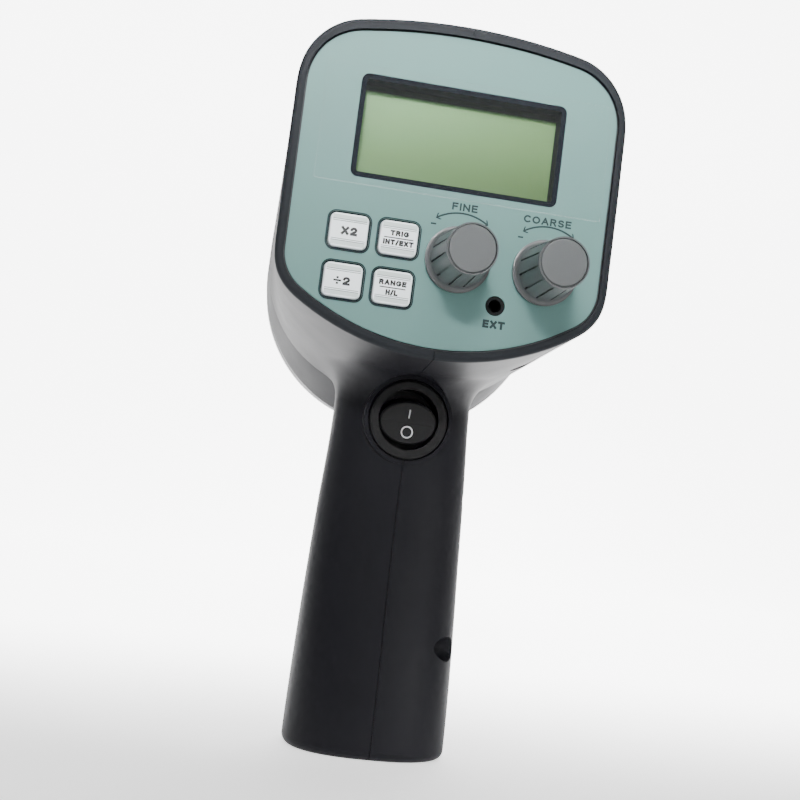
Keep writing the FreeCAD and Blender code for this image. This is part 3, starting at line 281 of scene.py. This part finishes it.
# %% [markdown]
# ## Metals, glass and what lies inside
# The reflector is spun aluminium, so its grain is coarse and its shine is metal. The lens and the
# flash tube could be real glass that bends light, but thin clear plastic bends it so little that a
# see-through share does as well, with less noise in the picture.
# %% Metals, glass and inside
steel = surface("steel", (0.55, 0.55, 0.56), 0.32, metal=1, grain=1200, bump=0.1)
nickel = surface("nickel", (0.66, 0.65, 0.62), 0.25, metal=1, grain=1500, bump=0.06)
brass = surface("brass", (0.75, 0.55, 0.25), 0.3, metal=1, grain=1500, bump=0.08)
mirror_bright = surface("mirror_bright", (0.42, 0.42, 0.43), 0.14, metal=1, grain=160, bump=0.03, vary=0.03)
core_grey = surface("core_grey", (0.12, 0.12, 0.13), 0.4, metal=1, grain=400, bump=0.5, stretch=(1, 9, 1))
lens_clear = surface("lens_clear", (0.3, 0.32, 0.34), 0.03, alpha=0.1, bump=0.0, vary=0.01)
tube_quartz = surface("tube_quartz", (0.85, 0.88, 0.92), 0.05, alpha=0.5, bump=0.0, vary=0.01)
ceramic = surface("ceramic", (0.80, 0.78, 0.72), 0.6, grain=2500, bump=0.15)
holder_white = surface("holder_white", (0.7, 0.7, 0.68), 0.5)
board_green = surface("board_green", (0.02, 0.13, 0.05), 0.35, grain=900, bump=0.1, vary=0.2, blotch=300)
component_blue = surface("component_blue", (0.02, 0.05, 0.17), 0.25, grain=800, bump=0.05, vary=0.1)
tape_yellow = surface("tape_yellow", (0.62, 0.45, 0.06), 0.4, grain=900, bump=0.2)
ground_white = surface("ground_white", (0.62, 0.62, 0.62), 0.8, grain=300, bump=0.01, vary=0.01, blotch=6)
print("materials:", len(bpy.data.materials))

# %% [markdown]
# ## Changes along an axis
# Some finishes change from one end of a piece to the other, and so do some painted light and shade.
# Each such change is a ramp along one of the object's own axes, so it stays on the piece from every
# view. Three small helpers make them.
# %% Ramps and blends


def position(material):
    """The place of each point along the object's own axes, for a change along one of them."""
    nodes = material.node_tree.nodes
    coords = nodes.new("ShaderNodeTexCoord")
    split = nodes.new("ShaderNodeSeparateXYZ")
    material.node_tree.links.new(coords.outputs["Object"], split.inputs["Vector"])
    return split.outputs


def ramp(material, value, start, end, low=0.0, high=1.0, soft=True):
    """A number that goes from low to high while a value goes from start to end."""
    node = material.node_tree.nodes.new("ShaderNodeMapRange")
    node.interpolation_type = "SMOOTHSTEP" if soft else "LINEAR"
    node.inputs["From Min"].default_value = start
    node.inputs["From Max"].default_value = end
    node.inputs["To Min"].default_value = low
    node.inputs["To Max"].default_value = high
    material.node_tree.links.new(value, node.inputs["Value"])
    return node.outputs["Result"]


def combine(material, operation, first, second):
    """A number made from two others."""
    node = material.node_tree.nodes.new("ShaderNodeMath")
    node.operation = operation
    material.node_tree.links.new(first, node.inputs[0])
    material.node_tree.links.new(second, node.inputs[1])
    return node.outputs["Value"]


def change(material, socket, share, value, how="MIX"):
    """Blends what reaches a socket of the shader towards a value, as far as a share says."""
    shader = material.node_tree.nodes["Principled BSDF"]
    links = material.node_tree.links
    source = shader.inputs[socket].links[0].from_socket
    mix = material.node_tree.nodes.new("ShaderNodeMix")
    mix.data_type = "RGBA" if socket == "Base Color" else "FLOAT"
    mix.blend_type = how
    links.new(share, mix.inputs["Factor"])
    links.new(source, mix.inputs["A"])
    mix.inputs["B"].default_value = value
    links.new(mix.outputs["Result"], shader.inputs[socket])


# %% [markdown]
# ## The shining ground
# The white ground of the photograph is far brighter than a floor that lamps light could be without
# washing out the object. So it shines by itself behind the object, more the further it lies, and only
# faintly elsewhere, with a paler far edge that keeps the other views from ending in the dark.
# %% Shining ground
SHINE_NEAR = 0.9
SHINE_FAR = 6.5
SHINE_START = -0.05
SHINE_END = 0.22
SHINE_LIMITS = (("Y", -0.25, -0.08), ("X", -0.6, -0.38), ("X", 1.1, 0.75), ("Z", 1.4, 0.8))
ELSEWHERE = 0.12
FAR_EDGE = 0.8
FAR_EDGE_START = 0.8
FAR_EDGE_END = 3.5


def shine_behind(material):
    """Makes the ground shine behind the object, and faintly elsewhere."""
    nodes = material.node_tree.nodes
    links = material.node_tree.links
    shader = nodes["Principled BSDF"]
    place = position(material)
    shine = ramp(material, place["Y"], SHINE_START, SHINE_END, SHINE_NEAR, SHINE_FAR)
    for axis, start, end in SHINE_LIMITS:
        shine = combine(material, "MULTIPLY", shine, ramp(material, place[axis], start, end))
    coords = nodes.new("ShaderNodeTexCoord")
    reach = nodes.new("ShaderNodeVectorMath")
    reach.operation = "LENGTH"
    links.new(coords.outputs["Object"], reach.inputs[0])
    around = ramp(material, reach.outputs["Value"], FAR_EDGE_START, FAR_EDGE_END, ELSEWHERE, FAR_EDGE)
    links.new(combine(material, "MAXIMUM", shine, around), shader.inputs["Emission Strength"])
    shader.inputs["Emission Color"].default_value = (1, 1, 1, 1)


shine_behind(ground_white)
ground.data.materials.append(ground_white)
print("the ground shines from", SHINE_NEAR, "to", SHINE_FAR)

# %% [markdown]
# ## The rim's duller finish
# The rim round the panel is a matte dark grey, duller than the casing that it is part of. It could be
# a second material on chosen faces, but the casing's mesh is left as it is, so the casing's material
# changes with depth instead: in front of the panel's face it is the rim's.
# %% Rim finish
RIM_DEPTH = -0.0388
RIM_BLEND = 0.0006
RIM_GREY = (0.013, 0.015, 0.018, 1)
RIM_ROUGHNESS = 0.6
on_rim = ramp(casing_black, position(casing_black)["Y"], RIM_DEPTH, RIM_DEPTH - RIM_BLEND, soft=False)
change(casing_black, "Base Color", on_rim, RIM_GREY)
change(casing_black, "Roughness", on_rim, RIM_ROUGHNESS)
print("rim finish in front of y in mm:", round(RIM_DEPTH / MM, 1))

# %% [markdown]
# ## The display's painted shade
# The display is switched off. Its light and shade are painted into its green: it is palest at its
# upper left and darker and yellower towards its lower right, and a painted shadow of the bezel lies
# as a dark strip along its top edge. Each of these is one ramp that darkens the green by a colour.
# %% Display painted shade
# Each ramp has an axis, where it starts and ends, and the colour it darkens by: painted shade to the right,
# painted shade towards the bottom, and the bezel's painted shadow along the top edge.
DISPLAY_PAINTED_SHADES = (
    ("X", -0.03, 0.03, (0.7, 0.68, 0.6, 1)),
    ("Z", 0.189, 0.165, (0.62, 0.6, 0.52, 1)),
    ("Z", 0.1883, 0.1892, (0.06, 0.05, 0.09, 1)),
)
display_place = position(display_green)
for axis, start, end, shade in DISPLAY_PAINTED_SHADES:
    share = ramp(display_green, display_place[axis], start, end)
    change(display_green, "Base Color", share, shade, "MULTIPLY")
print("display shades:", len(DISPLAY_PAINTED_SHADES))

# %% [markdown]
# ## The film edge's painted highlight
# The clear film over the display shows mainly by its lower edge, and unevenly, where light catches it.
# That glint is painted: the pale strip's see-through share falls off above that edge and is broken up
# by a noise.
# %% Film edge painted highlight
FILM_EDGE_LOW = 0.1615
FILM_EDGE_HIGH = 0.1625
FILM_EDGE_FAINT = 0.07
FILM_EDGE_CLEAR = 0.22
FILM_EDGE_PATCHES = 90
edge_share = ramp(painted_film_glint, position(painted_film_glint)["Z"], FILM_EDGE_HIGH, FILM_EDGE_LOW, FILM_EDGE_FAINT,
                  FILM_EDGE_CLEAR, soft=False)
patches = painted_film_glint.node_tree.nodes.new("ShaderNodeTexNoise")
patches.inputs["Scale"].default_value = FILM_EDGE_PATCHES
uneven = combine(painted_film_glint, "MULTIPLY", edge_share, patches.outputs["Fac"])
painted_film_glint.node_tree.links.new(uneven, painted_film_glint.node_tree.nodes["Principled BSDF"].inputs["Alpha"])
print("film edge shows by at most", FILM_EDGE_CLEAR)

# %% [markdown]
# ## Smooth shading
# The CAD pieces come as flat triangles, which would show on every round moulding. Splitting them finer
# would change the mesh, so they are shaded smooth instead, up to a crease angle, and larger faces
# count for more, which keeps the flat ones looking flat. The reflector is the exception: it is round
# all over, and plain smooth shading suits it best.
# %% Smooth shading
CREASE = math.radians(28)
LARGE_FACE_WEIGHT = 100
ROUND_ALL_OVER = "reflector"


def smooth(obj):
    """Shades an object smooth, with creases where its faces meet at more than the crease angle."""
    obj.data.polygons.foreach_set("use_smooth", [True] * len(obj.data.polygons))
    obj.data.set_sharp_from_angle(angle=CREASE)
    if obj.name == ROUND_ALL_OVER:
        return
    even = obj.modifiers.new("even_normals", "WEIGHTED_NORMAL")
    even.keep_sharp = True
    even.weight = LARGE_FACE_WEIGHT


print("crease angle in degrees:", round(math.degrees(CREASE)))

# %% [markdown]
# ## Dressing the CAD pieces
# Every CAD piece keeps its shape and takes one material. The materials could be set piece by piece,
# but one table shows at a glance which pieces share a finish.
# %% CAD pieces
FINISH = {
    casing_black: "right_shell left_shell",
    hood_black: "lamp_hood lens_ring",
    steel: "housing_screws board_screws lamp_board_screws pot_washers tube_electrodes",
    brass: "threaded_inserts board_spacers switch_terminals",
    panel_print: "panel_overlay",
    plate_black: "panel_plate",
    bezel_black: "display_bezel",
    clear_pane: "display_window",
    film_clear: "display_film",
    display_green: "display_glass",
    holder_white: "display_holder",
    board_green: "main_board power_board lamp_board",
    component_blue: "storage_capacitor",
    tape_yellow: "trigger_coil transformer_winding",
    component_black: "bridge_rectifier tact_switches mains_inlet",
    jack_black: "ext_jack",
    ceramic: "power_resistor tube_holder",
    key_white: "key_double key_trigger key_halve key_range",
    knob_grey: "fine_knob coarse_knob",
    cap_grey: "fine_cap coarse_cap",
    nickel: "fine_shaft fine_pot coarse_shaft coarse_pot pot_nuts trigger_wire inlet_pins fuse",
    switch_black: "switch_housing rocker",
    rubber: "lens_gasket",
    lens_clear: "lens",
    mirror_bright: "reflector",
    tube_quartz: "flash_tube",
    core_grey: "transformer_core",
}
dressed = set()
for material, names in FINISH.items():
    for name in names.split():
        node = bpy.data.objects[name]
        node.data.materials.clear()
        node.data.materials.append(material)
        smooth(node)
        dressed.add(name)
print("CAD pieces dressed:", len(dressed), "of", len(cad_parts), set(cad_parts) - dressed)

# %% [markdown]
# ## Ink on the panel and the keys
# The words and lines are printed. They could be painted by the material, but thin raised ink keeps
# sharp edges at any distance and can ride on the piece that moves. So each mark is a slab of ink, as
# wide and as high as it measures in the photograph. The keys' pale bands and fine lines, and the dark
# ring down in each key's gap, are slabs of the same kind, but they are painted shade, not print.
# %% Ink slabs
INK = 0.03 * MM


def piece_from(name, bm, material, body):
    """Makes an object from a bmesh, riding on a body."""
    mesh = bpy.data.meshes.new(name)
    bm.to_mesh(mesh)
    bm.free()
    mesh.materials.append(material)
    obj = link(bpy.data.objects.new(name, mesh))
    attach(obj, body)


def slab(bm, outline, y, depth):
    """Adds a flat shape, given as (x, z) points in metres, from y back to y plus depth."""
    front = [bm.verts.new((x, y, z)) for x, z in outline]
    rear = [bm.verts.new((x, y + depth, z)) for x, z in outline]
    bm.faces.new(front)
    bm.faces.new(rear[::-1])
    for i in range(len(outline)):
        j = (i + 1) % len(outline)
        bm.faces.new((front[i], rear[i], rear[j], front[j]))
    bmesh.ops.recalc_face_normals(bm, faces=bm.faces)


def bar(bm, x0, x1, z0, z1, y, depth=INK):
    """Adds a printed bar between two corners, in millimetres."""
    slab(bm, [(x0 * MM, z0 * MM), (x1 * MM, z0 * MM), (x1 * MM, z1 * MM), (x0 * MM, z1 * MM)], y, depth)


print("ink thickness in mm:", INK / MM)

# %% [markdown]
# ## Letters drawn with a pen
# The printed words are plain capitals. A type face would need its file and would bring its own
# proportions. A letter drawn as pen strokes takes the width of its strokes, its height and the word's
# length straight from the photograph. Bends are parts of an ellipse.
# %% Letter shapes


def bend(cx, cz, rx, rz, start, end, count=9):
    """Points along part of an ellipse; angles are in degrees from +X, anticlockwise."""
    turns = [math.radians(start + (end - start) * i / count) for i in range(count + 1)]
    return [(cx + rx * math.cos(turn), cz + rz * math.sin(turn)) for turn in turns]


# Each letter has a width and its strokes, as shares of a capital's height
GLYPHS = {
    "A": (0.78, [[(0, 0), (0.39, 1)], [(0.39, 1), (0.78, 0)], [(0.2, 0.34), (0.58, 0.34)]]),
    "C": (0.76, [bend(0.42, 0.5, 0.42, 0.5, 48, 312, 14)]),
    "E": (0.58, [[(0.58, 1), (0, 1), (0, 0), (0.58, 0)], [(0.1, 0.52), (0.52, 0.52)]]),
    "F": (0.56, [[(0.56, 1), (0, 1), (0, 0)], [(0.1, 0.52), (0.48, 0.52)]]),
    "G": (0.8, [bend(0.42, 0.5, 0.42, 0.5, 48, 330, 14) + [(0.79, 0.44)], [(0.54, 0.46), (0.72, 0.46)]]),
    "H": (0.66, [[(0, 0), (0, 1)], [(0.66, 0), (0.66, 1)], [(0.1, 0.52), (0.56, 0.52)]]),
    "I": (0, [[(0, 0), (0, 1)]]),
    "L": (0.54, [[(0, 1), (0, 0), (0.54, 0)]]),
    "N": (0.7, [[(0, 0), (0, 1)], [(0.7, 0), (0.7, 1)], [(0.04, 0.92), (0.66, 0.08)]]),
    "O": (0.84, [bend(0.42, 0.5, 0.42, 0.5, 0, 180, 10), bend(0.42, 0.5, 0.42, 0.5, 180, 360, 10)]),
    "R": (0.66, [[(0, 0), (0, 1), (0.38, 1)] + bend(0.38, 0.76, 0.24, 0.24, 70, -90, 6) + [(0.1, 0.52)],
                 [(0.38, 0.46), (0.64, 0.02)]]),
    "S": (0.62, [bend(0.31, 0.755, 0.29, 0.245, 28, 265, 9) + bend(0.31, 0.255, 0.31, 0.255, 80, -152, 9)]),
    "T": (0.68, [[(0, 1), (0.68, 1)], [(0.34, 0.9), (0.34, 0)]]),
    "X": (0.7, [[(0.02, 0.98), (0.68, 0.02)], [(0.02, 0.02), (0.68, 0.98)]]),
    "2": (0.58, [bend(0.29, 0.71, 0.28, 0.29, 170, -38, 9) + [(0.04, 0.1)], [(0, 0), (0.58, 0)]]),
    "/": (0.36, [[(0, -0.04), (0.36, 1.04)]]),
}
print("letters drawn:", "".join(GLYPHS))

# %% [markdown]
# ## From strokes to words
# A printed stroke has one width all along. It could be a curve with a bevel, but its ends would be
# round and its corners thin. So it is a row of slabs with square ends, whose sides meet halfway
# between two directions. A letter's strokes lie a little in front of each other where they cross,
# because faces in one plane would flicker.
# %% Pen strokes
LEAST_MITRE = 0.55
LETTER_GAP = 0.2
STROKE_STEP = 0.2


def stroke(bm, path, half, y):
    """Adds one pen stroke along a path in millimetres, with square ends and mitred bends."""
    steps = [(Vector(b) - Vector(a)).normalized() for a, b in zip(path, path[1:])]
    path = [Vector(p) for p in path]
    path[0] = path[0] - steps[0] * half
    path[-1] = path[-1] + steps[-1] * half
    sides = []
    for i, point in enumerate(path):
        before = steps[max(i - 1, 0)]
        after = steps[min(i, len(steps) - 1)]
        middle = (before + after).normalized()
        reach = half / max(middle.dot(after), LEAST_MITRE)
        across = Vector((-middle.y, middle.x)) * reach
        sides.append(((point + across) * MM, (point - across) * MM))
    for (a, b), (c, d) in zip(sides, sides[1:]):
        slab(bm, [tuple(a), tuple(c), tuple(d), tuple(b)], y, INK)


def letters(bm, text, x, z, width, height, y, pen):
    """Adds words centred on (x, z) in millimetres, with a width, a capital's height and a pen's width."""
    gap = LETTER_GAP + pen / height
    total = sum(GLYPHS[letter][0] for letter in text) + gap * (len(text) - 1)
    scale_x = (width - pen) / total
    scale_z = height - pen
    left = x - (width - pen) / 2
    base = z - scale_z / 2
    for letter in text:
        advance, paths = GLYPHS[letter]
        for k, path in enumerate(paths):
            drawn = [(left + a * scale_x, base + b * scale_z) for a, b in path]
            stroke(bm, drawn, pen / 2, y - INK * STROKE_STEP * k)
        left += (advance + gap) * scale_x


print("gap between letters, as a share of their height:", LETTER_GAP)

# %% [markdown]
# ## Arrows round the knobs
# A curved arrow with an open head at each end shows that a knob turns both ways. The pen of the
# letters could draw it, but its many short slabs would show as corners. So its line is one strip
# between two arcs about the knob's centre, and each wing of a head is a short slanted bar.
# %% Arrows
ARROW_LINE = 0.24
ARROW_WING = 0.95
ARROW_WING_ANGLE = 4.2
ARROW_LIFT = INK * 0.3


def arc_points(cx, cz, radius, start, end, count=24):
    """Points along an arc, in metres; angles are in degrees from straight up, clockwise."""
    points = []
    for i in range(count + 1):
        turn = math.radians(start + (end - start) * i / count)
        points.append(((cx + radius * math.sin(turn)) * MM, (cz + radius * math.cos(turn)) * MM))
    return points


def double_arrow(bm, cx, cz, radius, half_angle, y):
    """Adds a curved arrow with an open head at each end, round a knob's centre."""
    inner = arc_points(cx, cz, radius - ARROW_LINE, -half_angle, half_angle)
    outer = arc_points(cx, cz, radius + ARROW_LINE, -half_angle, half_angle)
    lean = math.degrees(ARROW_LINE / radius)
    slab(bm, outer + inner[::-1], y, INK)
    for side in (-1, 1):
        tip = side * half_angle
        end = side * (half_angle - ARROW_WING_ANGLE)
        slant = side * lean
        for level in (-1, 1):
            reach = radius + level * ARROW_WING
            corners = [(radius, tip + slant), (reach, end + slant), (reach, end - slant),
                       (radius, tip - slant)]
            slab(bm, [arc_points(cx, cz, r, turn, turn, 1)[0] for r, turn in corners], y - ARROW_LIFT, INK)


print("arrow line's width in mm:", 2 * ARROW_LINE)

# %% [markdown]
# ## The panel's legends
# FINE and COARSE stand over the knobs' arrows, a minus and a plus sign at each arrow's ends, and EXT
# under the jack. Each mark could be a piece of its own, but they never move apart, so they are one
# piece of ink, which rides on the casing.
# %% Panel legends
INK_Y = PANEL_Y - INK
# Each word has its middle's x and z, its width, its height and its pen's width, in millimetres
PANEL_WORDS = {
    "FINE": (3.66, 159.2, 7.27, 2.1, 0.47),
    "COARSE": (27.5, 158.9, 13.8, 2.1, 0.47),
    "EXT": (15.7, 127.95, 6.3, 2.25, 0.64),
}
KNOBS = {"fine": (3.3, 144.3), "coarse": (28.2, 144.3)}
ARROW_RADIUS = 13.15
ARROW_HALF_ANGLE = 33.5
SIGN_SIDE = 7.9
SIGN_BASE = 8.95
SIGN_HALF_LENGTH = 0.75
SIGN_HALF_WIDTH = 0.225
PLUS_HALF_WIDTH = 0.22
PLUS_BASE = 8.43

legends = bmesh.new()
for word, (word_x, word_z, width, height, pen) in PANEL_WORDS.items():
    letters(legends, word, word_x, word_z, width, height, INK_Y, pen)
for knob_x, knob_z in KNOBS.values():
    double_arrow(legends, knob_x, knob_z, ARROW_RADIUS, ARROW_HALF_ANGLE, INK_Y)
    base = knob_z + SIGN_BASE
    for sign_x in (knob_x - SIGN_SIDE, knob_x + SIGN_SIDE):
        bar(legends, sign_x - SIGN_HALF_LENGTH, sign_x + SIGN_HALF_LENGTH, base, base + 2 * SIGN_HALF_WIDTH,
            INK_Y)
    plus_x = knob_x + SIGN_SIDE
    base = knob_z + PLUS_BASE
    bar(legends, plus_x - PLUS_HALF_WIDTH, plus_x + PLUS_HALF_WIDTH, base, base + 2 * SIGN_HALF_LENGTH,
        INK_Y - ARROW_LIFT)
piece_from("panel_legends", legends, dark_ink_and_gap_shade, "casing")
print("panel words:", list(PANEL_WORDS))

# %% [markdown]
# ## The keys' outlines
# Each key shows through a hole in the printed film, with a dark line round it. The line is a flat ring
# of ink on the film, which is print, and a second dark ring down in the gap, which is painted shade,
# so that the gap reads dark from the side too.
# %% Rounded outlines and rings


def rounded(cx, cz, half_w, half_h, corner, count=6):
    """The outline of a rounded rectangle, in metres, from sizes in millimetres."""
    points = []
    for k, (sx, sz) in enumerate(((1, 1), (-1, 1), (-1, -1), (1, -1))):
        for i in range(count + 1):
            turn = math.radians(90 * k + 90 * i / count)
            points.append(((cx + sx * (half_w - corner) + corner * math.cos(turn)) * MM,
                           (cz + sz * (half_h - corner) + corner * math.sin(turn)) * MM))
    return points


def ring(bm, outer, inner, y, depth):
    """Adds a flat ring between two outlines that have the same number of points."""
    rings = []
    for outline, level in ((outer, y), (inner, y), (inner, y + depth), (outer, y + depth)):
        rings.append([bm.verts.new((x, level, z)) for x, z in outline])
    for k in range(4):
        a = rings[k]
        b = rings[(k + 1) % 4]
        for i in range(len(a)):
            j = (i + 1) % len(a)
            bm.faces.new((a[i], a[j], b[j], b[i]))
    bmesh.ops.recalc_face_normals(bm, faces=bm.faces)


print("points in a rounded outline:", len(rounded(0, 0, 1, 1, 0)))

# %% [markdown]
# ## The keys' words
# Each key has one or two words on its white face, with a thin rule between two. The division sign is
# a bar with two square dots. The ink rides on its own key, so it goes down with it.
# %% Key words
KEY_PROUD = 1.0
KEY_FACE_Y = PANEL_Y - KEY_PROUD * MM - INK
# Each key has its middle's x and z, and its words: each with an offset in x and z, a width, a height
# and a pen's width, in millimetres. The last two are the rule's height over the middle and half length.
KEYS = {
    "double": (-27.7, 147.65, [("X2", 0.1, -0.1, 4.5, 2.35, 0.7)], None, None),
    "trigger": (-13.8, 147.65, [("TRIG", 0.1, 1.3, 5.2, 1.5, 0.47), ("INT/EXT", 0, -1.3, 8.5, 1.5, 0.47)],
                -0.05, 4.1),
    "halve": (-27.7, 133.95, [("2", 1.1, -0.15, 2.0, 2.3, 0.66)], None, None),
    "range": (-13.8, 133.95, [("RANGE", -0.1, 1.25, 7.6, 1.5, 0.45), ("H/L", -0.1, -1.45, 3.4, 1.55, 0.47)],
              -0.12, 3.6),
}
RULE_HALF_WIDTH = 0.15
DIVIDE_BAR = (-2.5, -0.35, -0.42, 0.06)
DIVIDE_DOT_X = -1.42
DIVIDE_DOT_HALF_W = 0.3
DIVIDE_DOT_HALF_H = 0.28
DIVIDE_DOT_LEVELS = (-0.95, 0.6)


def division_sign(bm, x, z, y):
    """Adds a bar with a dot below and a dot above it, left of the middle of a key."""
    x0, x1, z0, z1 = DIVIDE_BAR
    bar(bm, x + x0, x + x1, z + z0, z + z1, y)
    dot_x = x + DIVIDE_DOT_X
    for level in DIVIDE_DOT_LEVELS:
        dot_z = z + level
        bar(bm, dot_x - DIVIDE_DOT_HALF_W, dot_x + DIVIDE_DOT_HALF_W,
            dot_z - DIVIDE_DOT_HALF_H, dot_z + DIVIDE_DOT_HALF_H, y)


for key, (key_x, key_z, words, rule_z, rule_reach) in KEYS.items():
    ink = bmesh.new()
    for text, dx, dz, width, height, pen in words:
        letters(ink, text, key_x + dx, key_z + dz, width, height, KEY_FACE_Y, pen)
    if rule_z is not None:
        middle = key_z + rule_z
        bar(ink, key_x - rule_reach, key_x + rule_reach, middle - RULE_HALF_WIDTH, middle + RULE_HALF_WIDTH,
            KEY_FACE_Y)
    if key == "halve":
        division_sign(ink, key_x, key_z, KEY_FACE_Y)
    piece_from("key_" + key + "_words", ink, ink_black, key + "_key")
print("keys with words:", {key: [word[0] for word in row[2]] for key, row in KEYS.items()})

# %% [markdown]
# ## The keys' bands and surrounds
# Each key has a pale band along its top and its bottom, with two fine lines at the band's inner side,
# and the dark line round it. The bands and fine lines are painted shade of the key's top and bottom.
# The bands and lines are the key's own, and the surround is the casing's.
# %% Key bands and surrounds
# The pale bands and the fine lines are painted shade of each key's top and bottom.
KEY_HALF_W = 5.27
KEY_HALF_H = 4.67
BAND_EDGE = 0.55
BAND_START = 2.95
LINE_LEVELS = (2.5, BAND_START)
LINE_HALF_WIDTH = 0.08
# Each ring has how far its outer and inner outlines lie outside the key, its y, and its depth
# The first ring is the printed outline on the film, the second is painted shade down in the gap.
OUTLINE_AND_GAP_SHADE_RINGS = ((0.95, 0.62, INK_Y, INK), (0.64, 0.12, PANEL_Y + 0.6 * MM, 0.4 * MM))
KEY_CORNER = 1.6


def key_bands(key_x, key_z):
    """The two pale bands of a key, and the two fine lines at each: painted shade of its top and bottom."""
    bands = bmesh.new()
    lines = bmesh.new()
    half = KEY_HALF_W - BAND_EDGE
    for side in (-1, 1):
        inner_z = key_z + side * BAND_START
        outer_z = key_z + side * (KEY_HALF_H - BAND_EDGE)
        bar(bands, key_x - half, key_x + half, min(inner_z, outer_z), max(inner_z, outer_z), KEY_FACE_Y)
        for level in LINE_LEVELS:
            middle = key_z + side * level
            bar(lines, key_x - half, key_x + half, middle - LINE_HALF_WIDTH, middle + LINE_HALF_WIDTH,
                KEY_FACE_Y - INK)
    return bands, lines


for key, row in KEYS.items():
    key_x, key_z = row[:2]
    bands, lines = key_bands(key_x, key_z)
    piece_from("key_" + key + "_bands", bands, painted_band_shade, key + "_key")
    piece_from("key_" + key + "_lines", lines, painted_line_shade, key + "_key")
    # The printed outline round the key, and the painted shade down in its gap.
    outline_and_gap_shade = bmesh.new()
    for outer, inner, y, depth in OUTLINE_AND_GAP_SHADE_RINGS:
        outlines = [rounded(key_x, key_z, KEY_HALF_W + out, KEY_HALF_H + out, KEY_CORNER + out)
                    for out in (outer, inner)]
        ring(outline_and_gap_shade, *outlines, y, depth)
    piece_from("key_" + key + "_surround", outline_and_gap_shade, dark_ink_and_gap_shade, "casing")
print("keys with bands:", len(KEYS))

# %% [markdown]
# ## Marks on the rocker
# A line for on at the upper end and a ring for off at the lower end, each lying on its half of the
# rocker's shallow V. They are worked out on the level rocker and then tilted with it, and they ride
# on it.
# %% Rocker marks
ROCKER_PIVOT = Vector((0, -5.0, 100.0)) * MM
ROCKER_TILT = math.radians(12)
ROCKER_RISE = 4.4
END_RISE = 0.9
ROCKER_HALF = 6.5
MARK_LINE = ((-0.2, 1.4), (0.2, 1.4), (0.2, 4.1), (-0.2, 4.1))
MARK_RING_Z = -2.8
MARK_RING_OUTER = 1.85
MARK_RING_INNER = 1.42


def on_rocker(x, z):
    """The point of the rocker's face at (x, z) millimetres from its middle, lifted by the ink."""
    local = Vector((x, -(ROCKER_RISE + END_RISE * abs(z) / ROCKER_HALF), z)) * MM
    local.y -= INK
    return ROCKER_PIVOT + Matrix.Rotation(ROCKER_TILT, 3, "X") @ local


def rocker_mark(name, outline, inner=None):
    """Makes a white mark on the rocker from (x, z) points, with a hole if an inner outline is given."""
    bm = bmesh.new()
    front = [bm.verts.new(on_rocker(x, z)) for x, z in outline]
    if inner is None:
        bm.faces.new(front)
    else:
        hole = [bm.verts.new(on_rocker(x, z)) for x, z in inner]
        for i in range(len(front)):
            j = (i + 1) % len(front)
            bm.faces.new((front[i], front[j], hole[j], hole[i]))
    bmesh.ops.solidify(bm, geom=bm.faces[:], thickness=INK)
    piece_from(name, bm, ink_white, "power_rocker")


def circle(cx, cz, radius, count=40):
    """Points round a circle in millimetres."""
    return [(cx + radius * math.cos(2 * math.pi * i / count), cz + radius * math.sin(2 * math.pi * i / count))
            for i in range(count)]


rocker_mark("rocker_mark_on", MARK_LINE)
rocker_mark("rocker_mark_off", circle(0, MARK_RING_Z, MARK_RING_OUTER),
            circle(0, MARK_RING_Z, MARK_RING_INNER))
print("rocker marks' tilt in degrees:", round(math.degrees(ROCKER_TILT)))

# %% [markdown]
# ## The film over the display
# The clear film is still on the instrument. Its cut edges catch the light, and that is painted as a
# very narrow paler strip along them, a painted highlight. It is a ring of its own, because the film
# itself is all but invisible.
# %% Film edges
FILM_X = 1.6
FILM_HALF_W = 40.8
FILM_HALF_H = 16.6
FILM_STRIP = 0.22
FILM_CORNERS = (0.3, 0.1)
FILM_PROUD = 0.2 * MM
STRIP_DEPTH = 0.04 * MM
strips = [rounded(FILM_X, DISPLAY_Z / MM, FILM_HALF_W - inset, FILM_HALF_H - inset, corner, 2)
          for inset, corner in zip((0, FILM_STRIP), FILM_CORNERS)]
edges = bmesh.new()
ring(edges, *strips, PANEL_Y - FILM_PROUD, STRIP_DEPTH)
piece_from("painted_film_glints", edges, painted_film_glint, "casing")
print("film in mm:", 2 * FILM_HALF_W, "by", 2 * FILM_HALF_H)
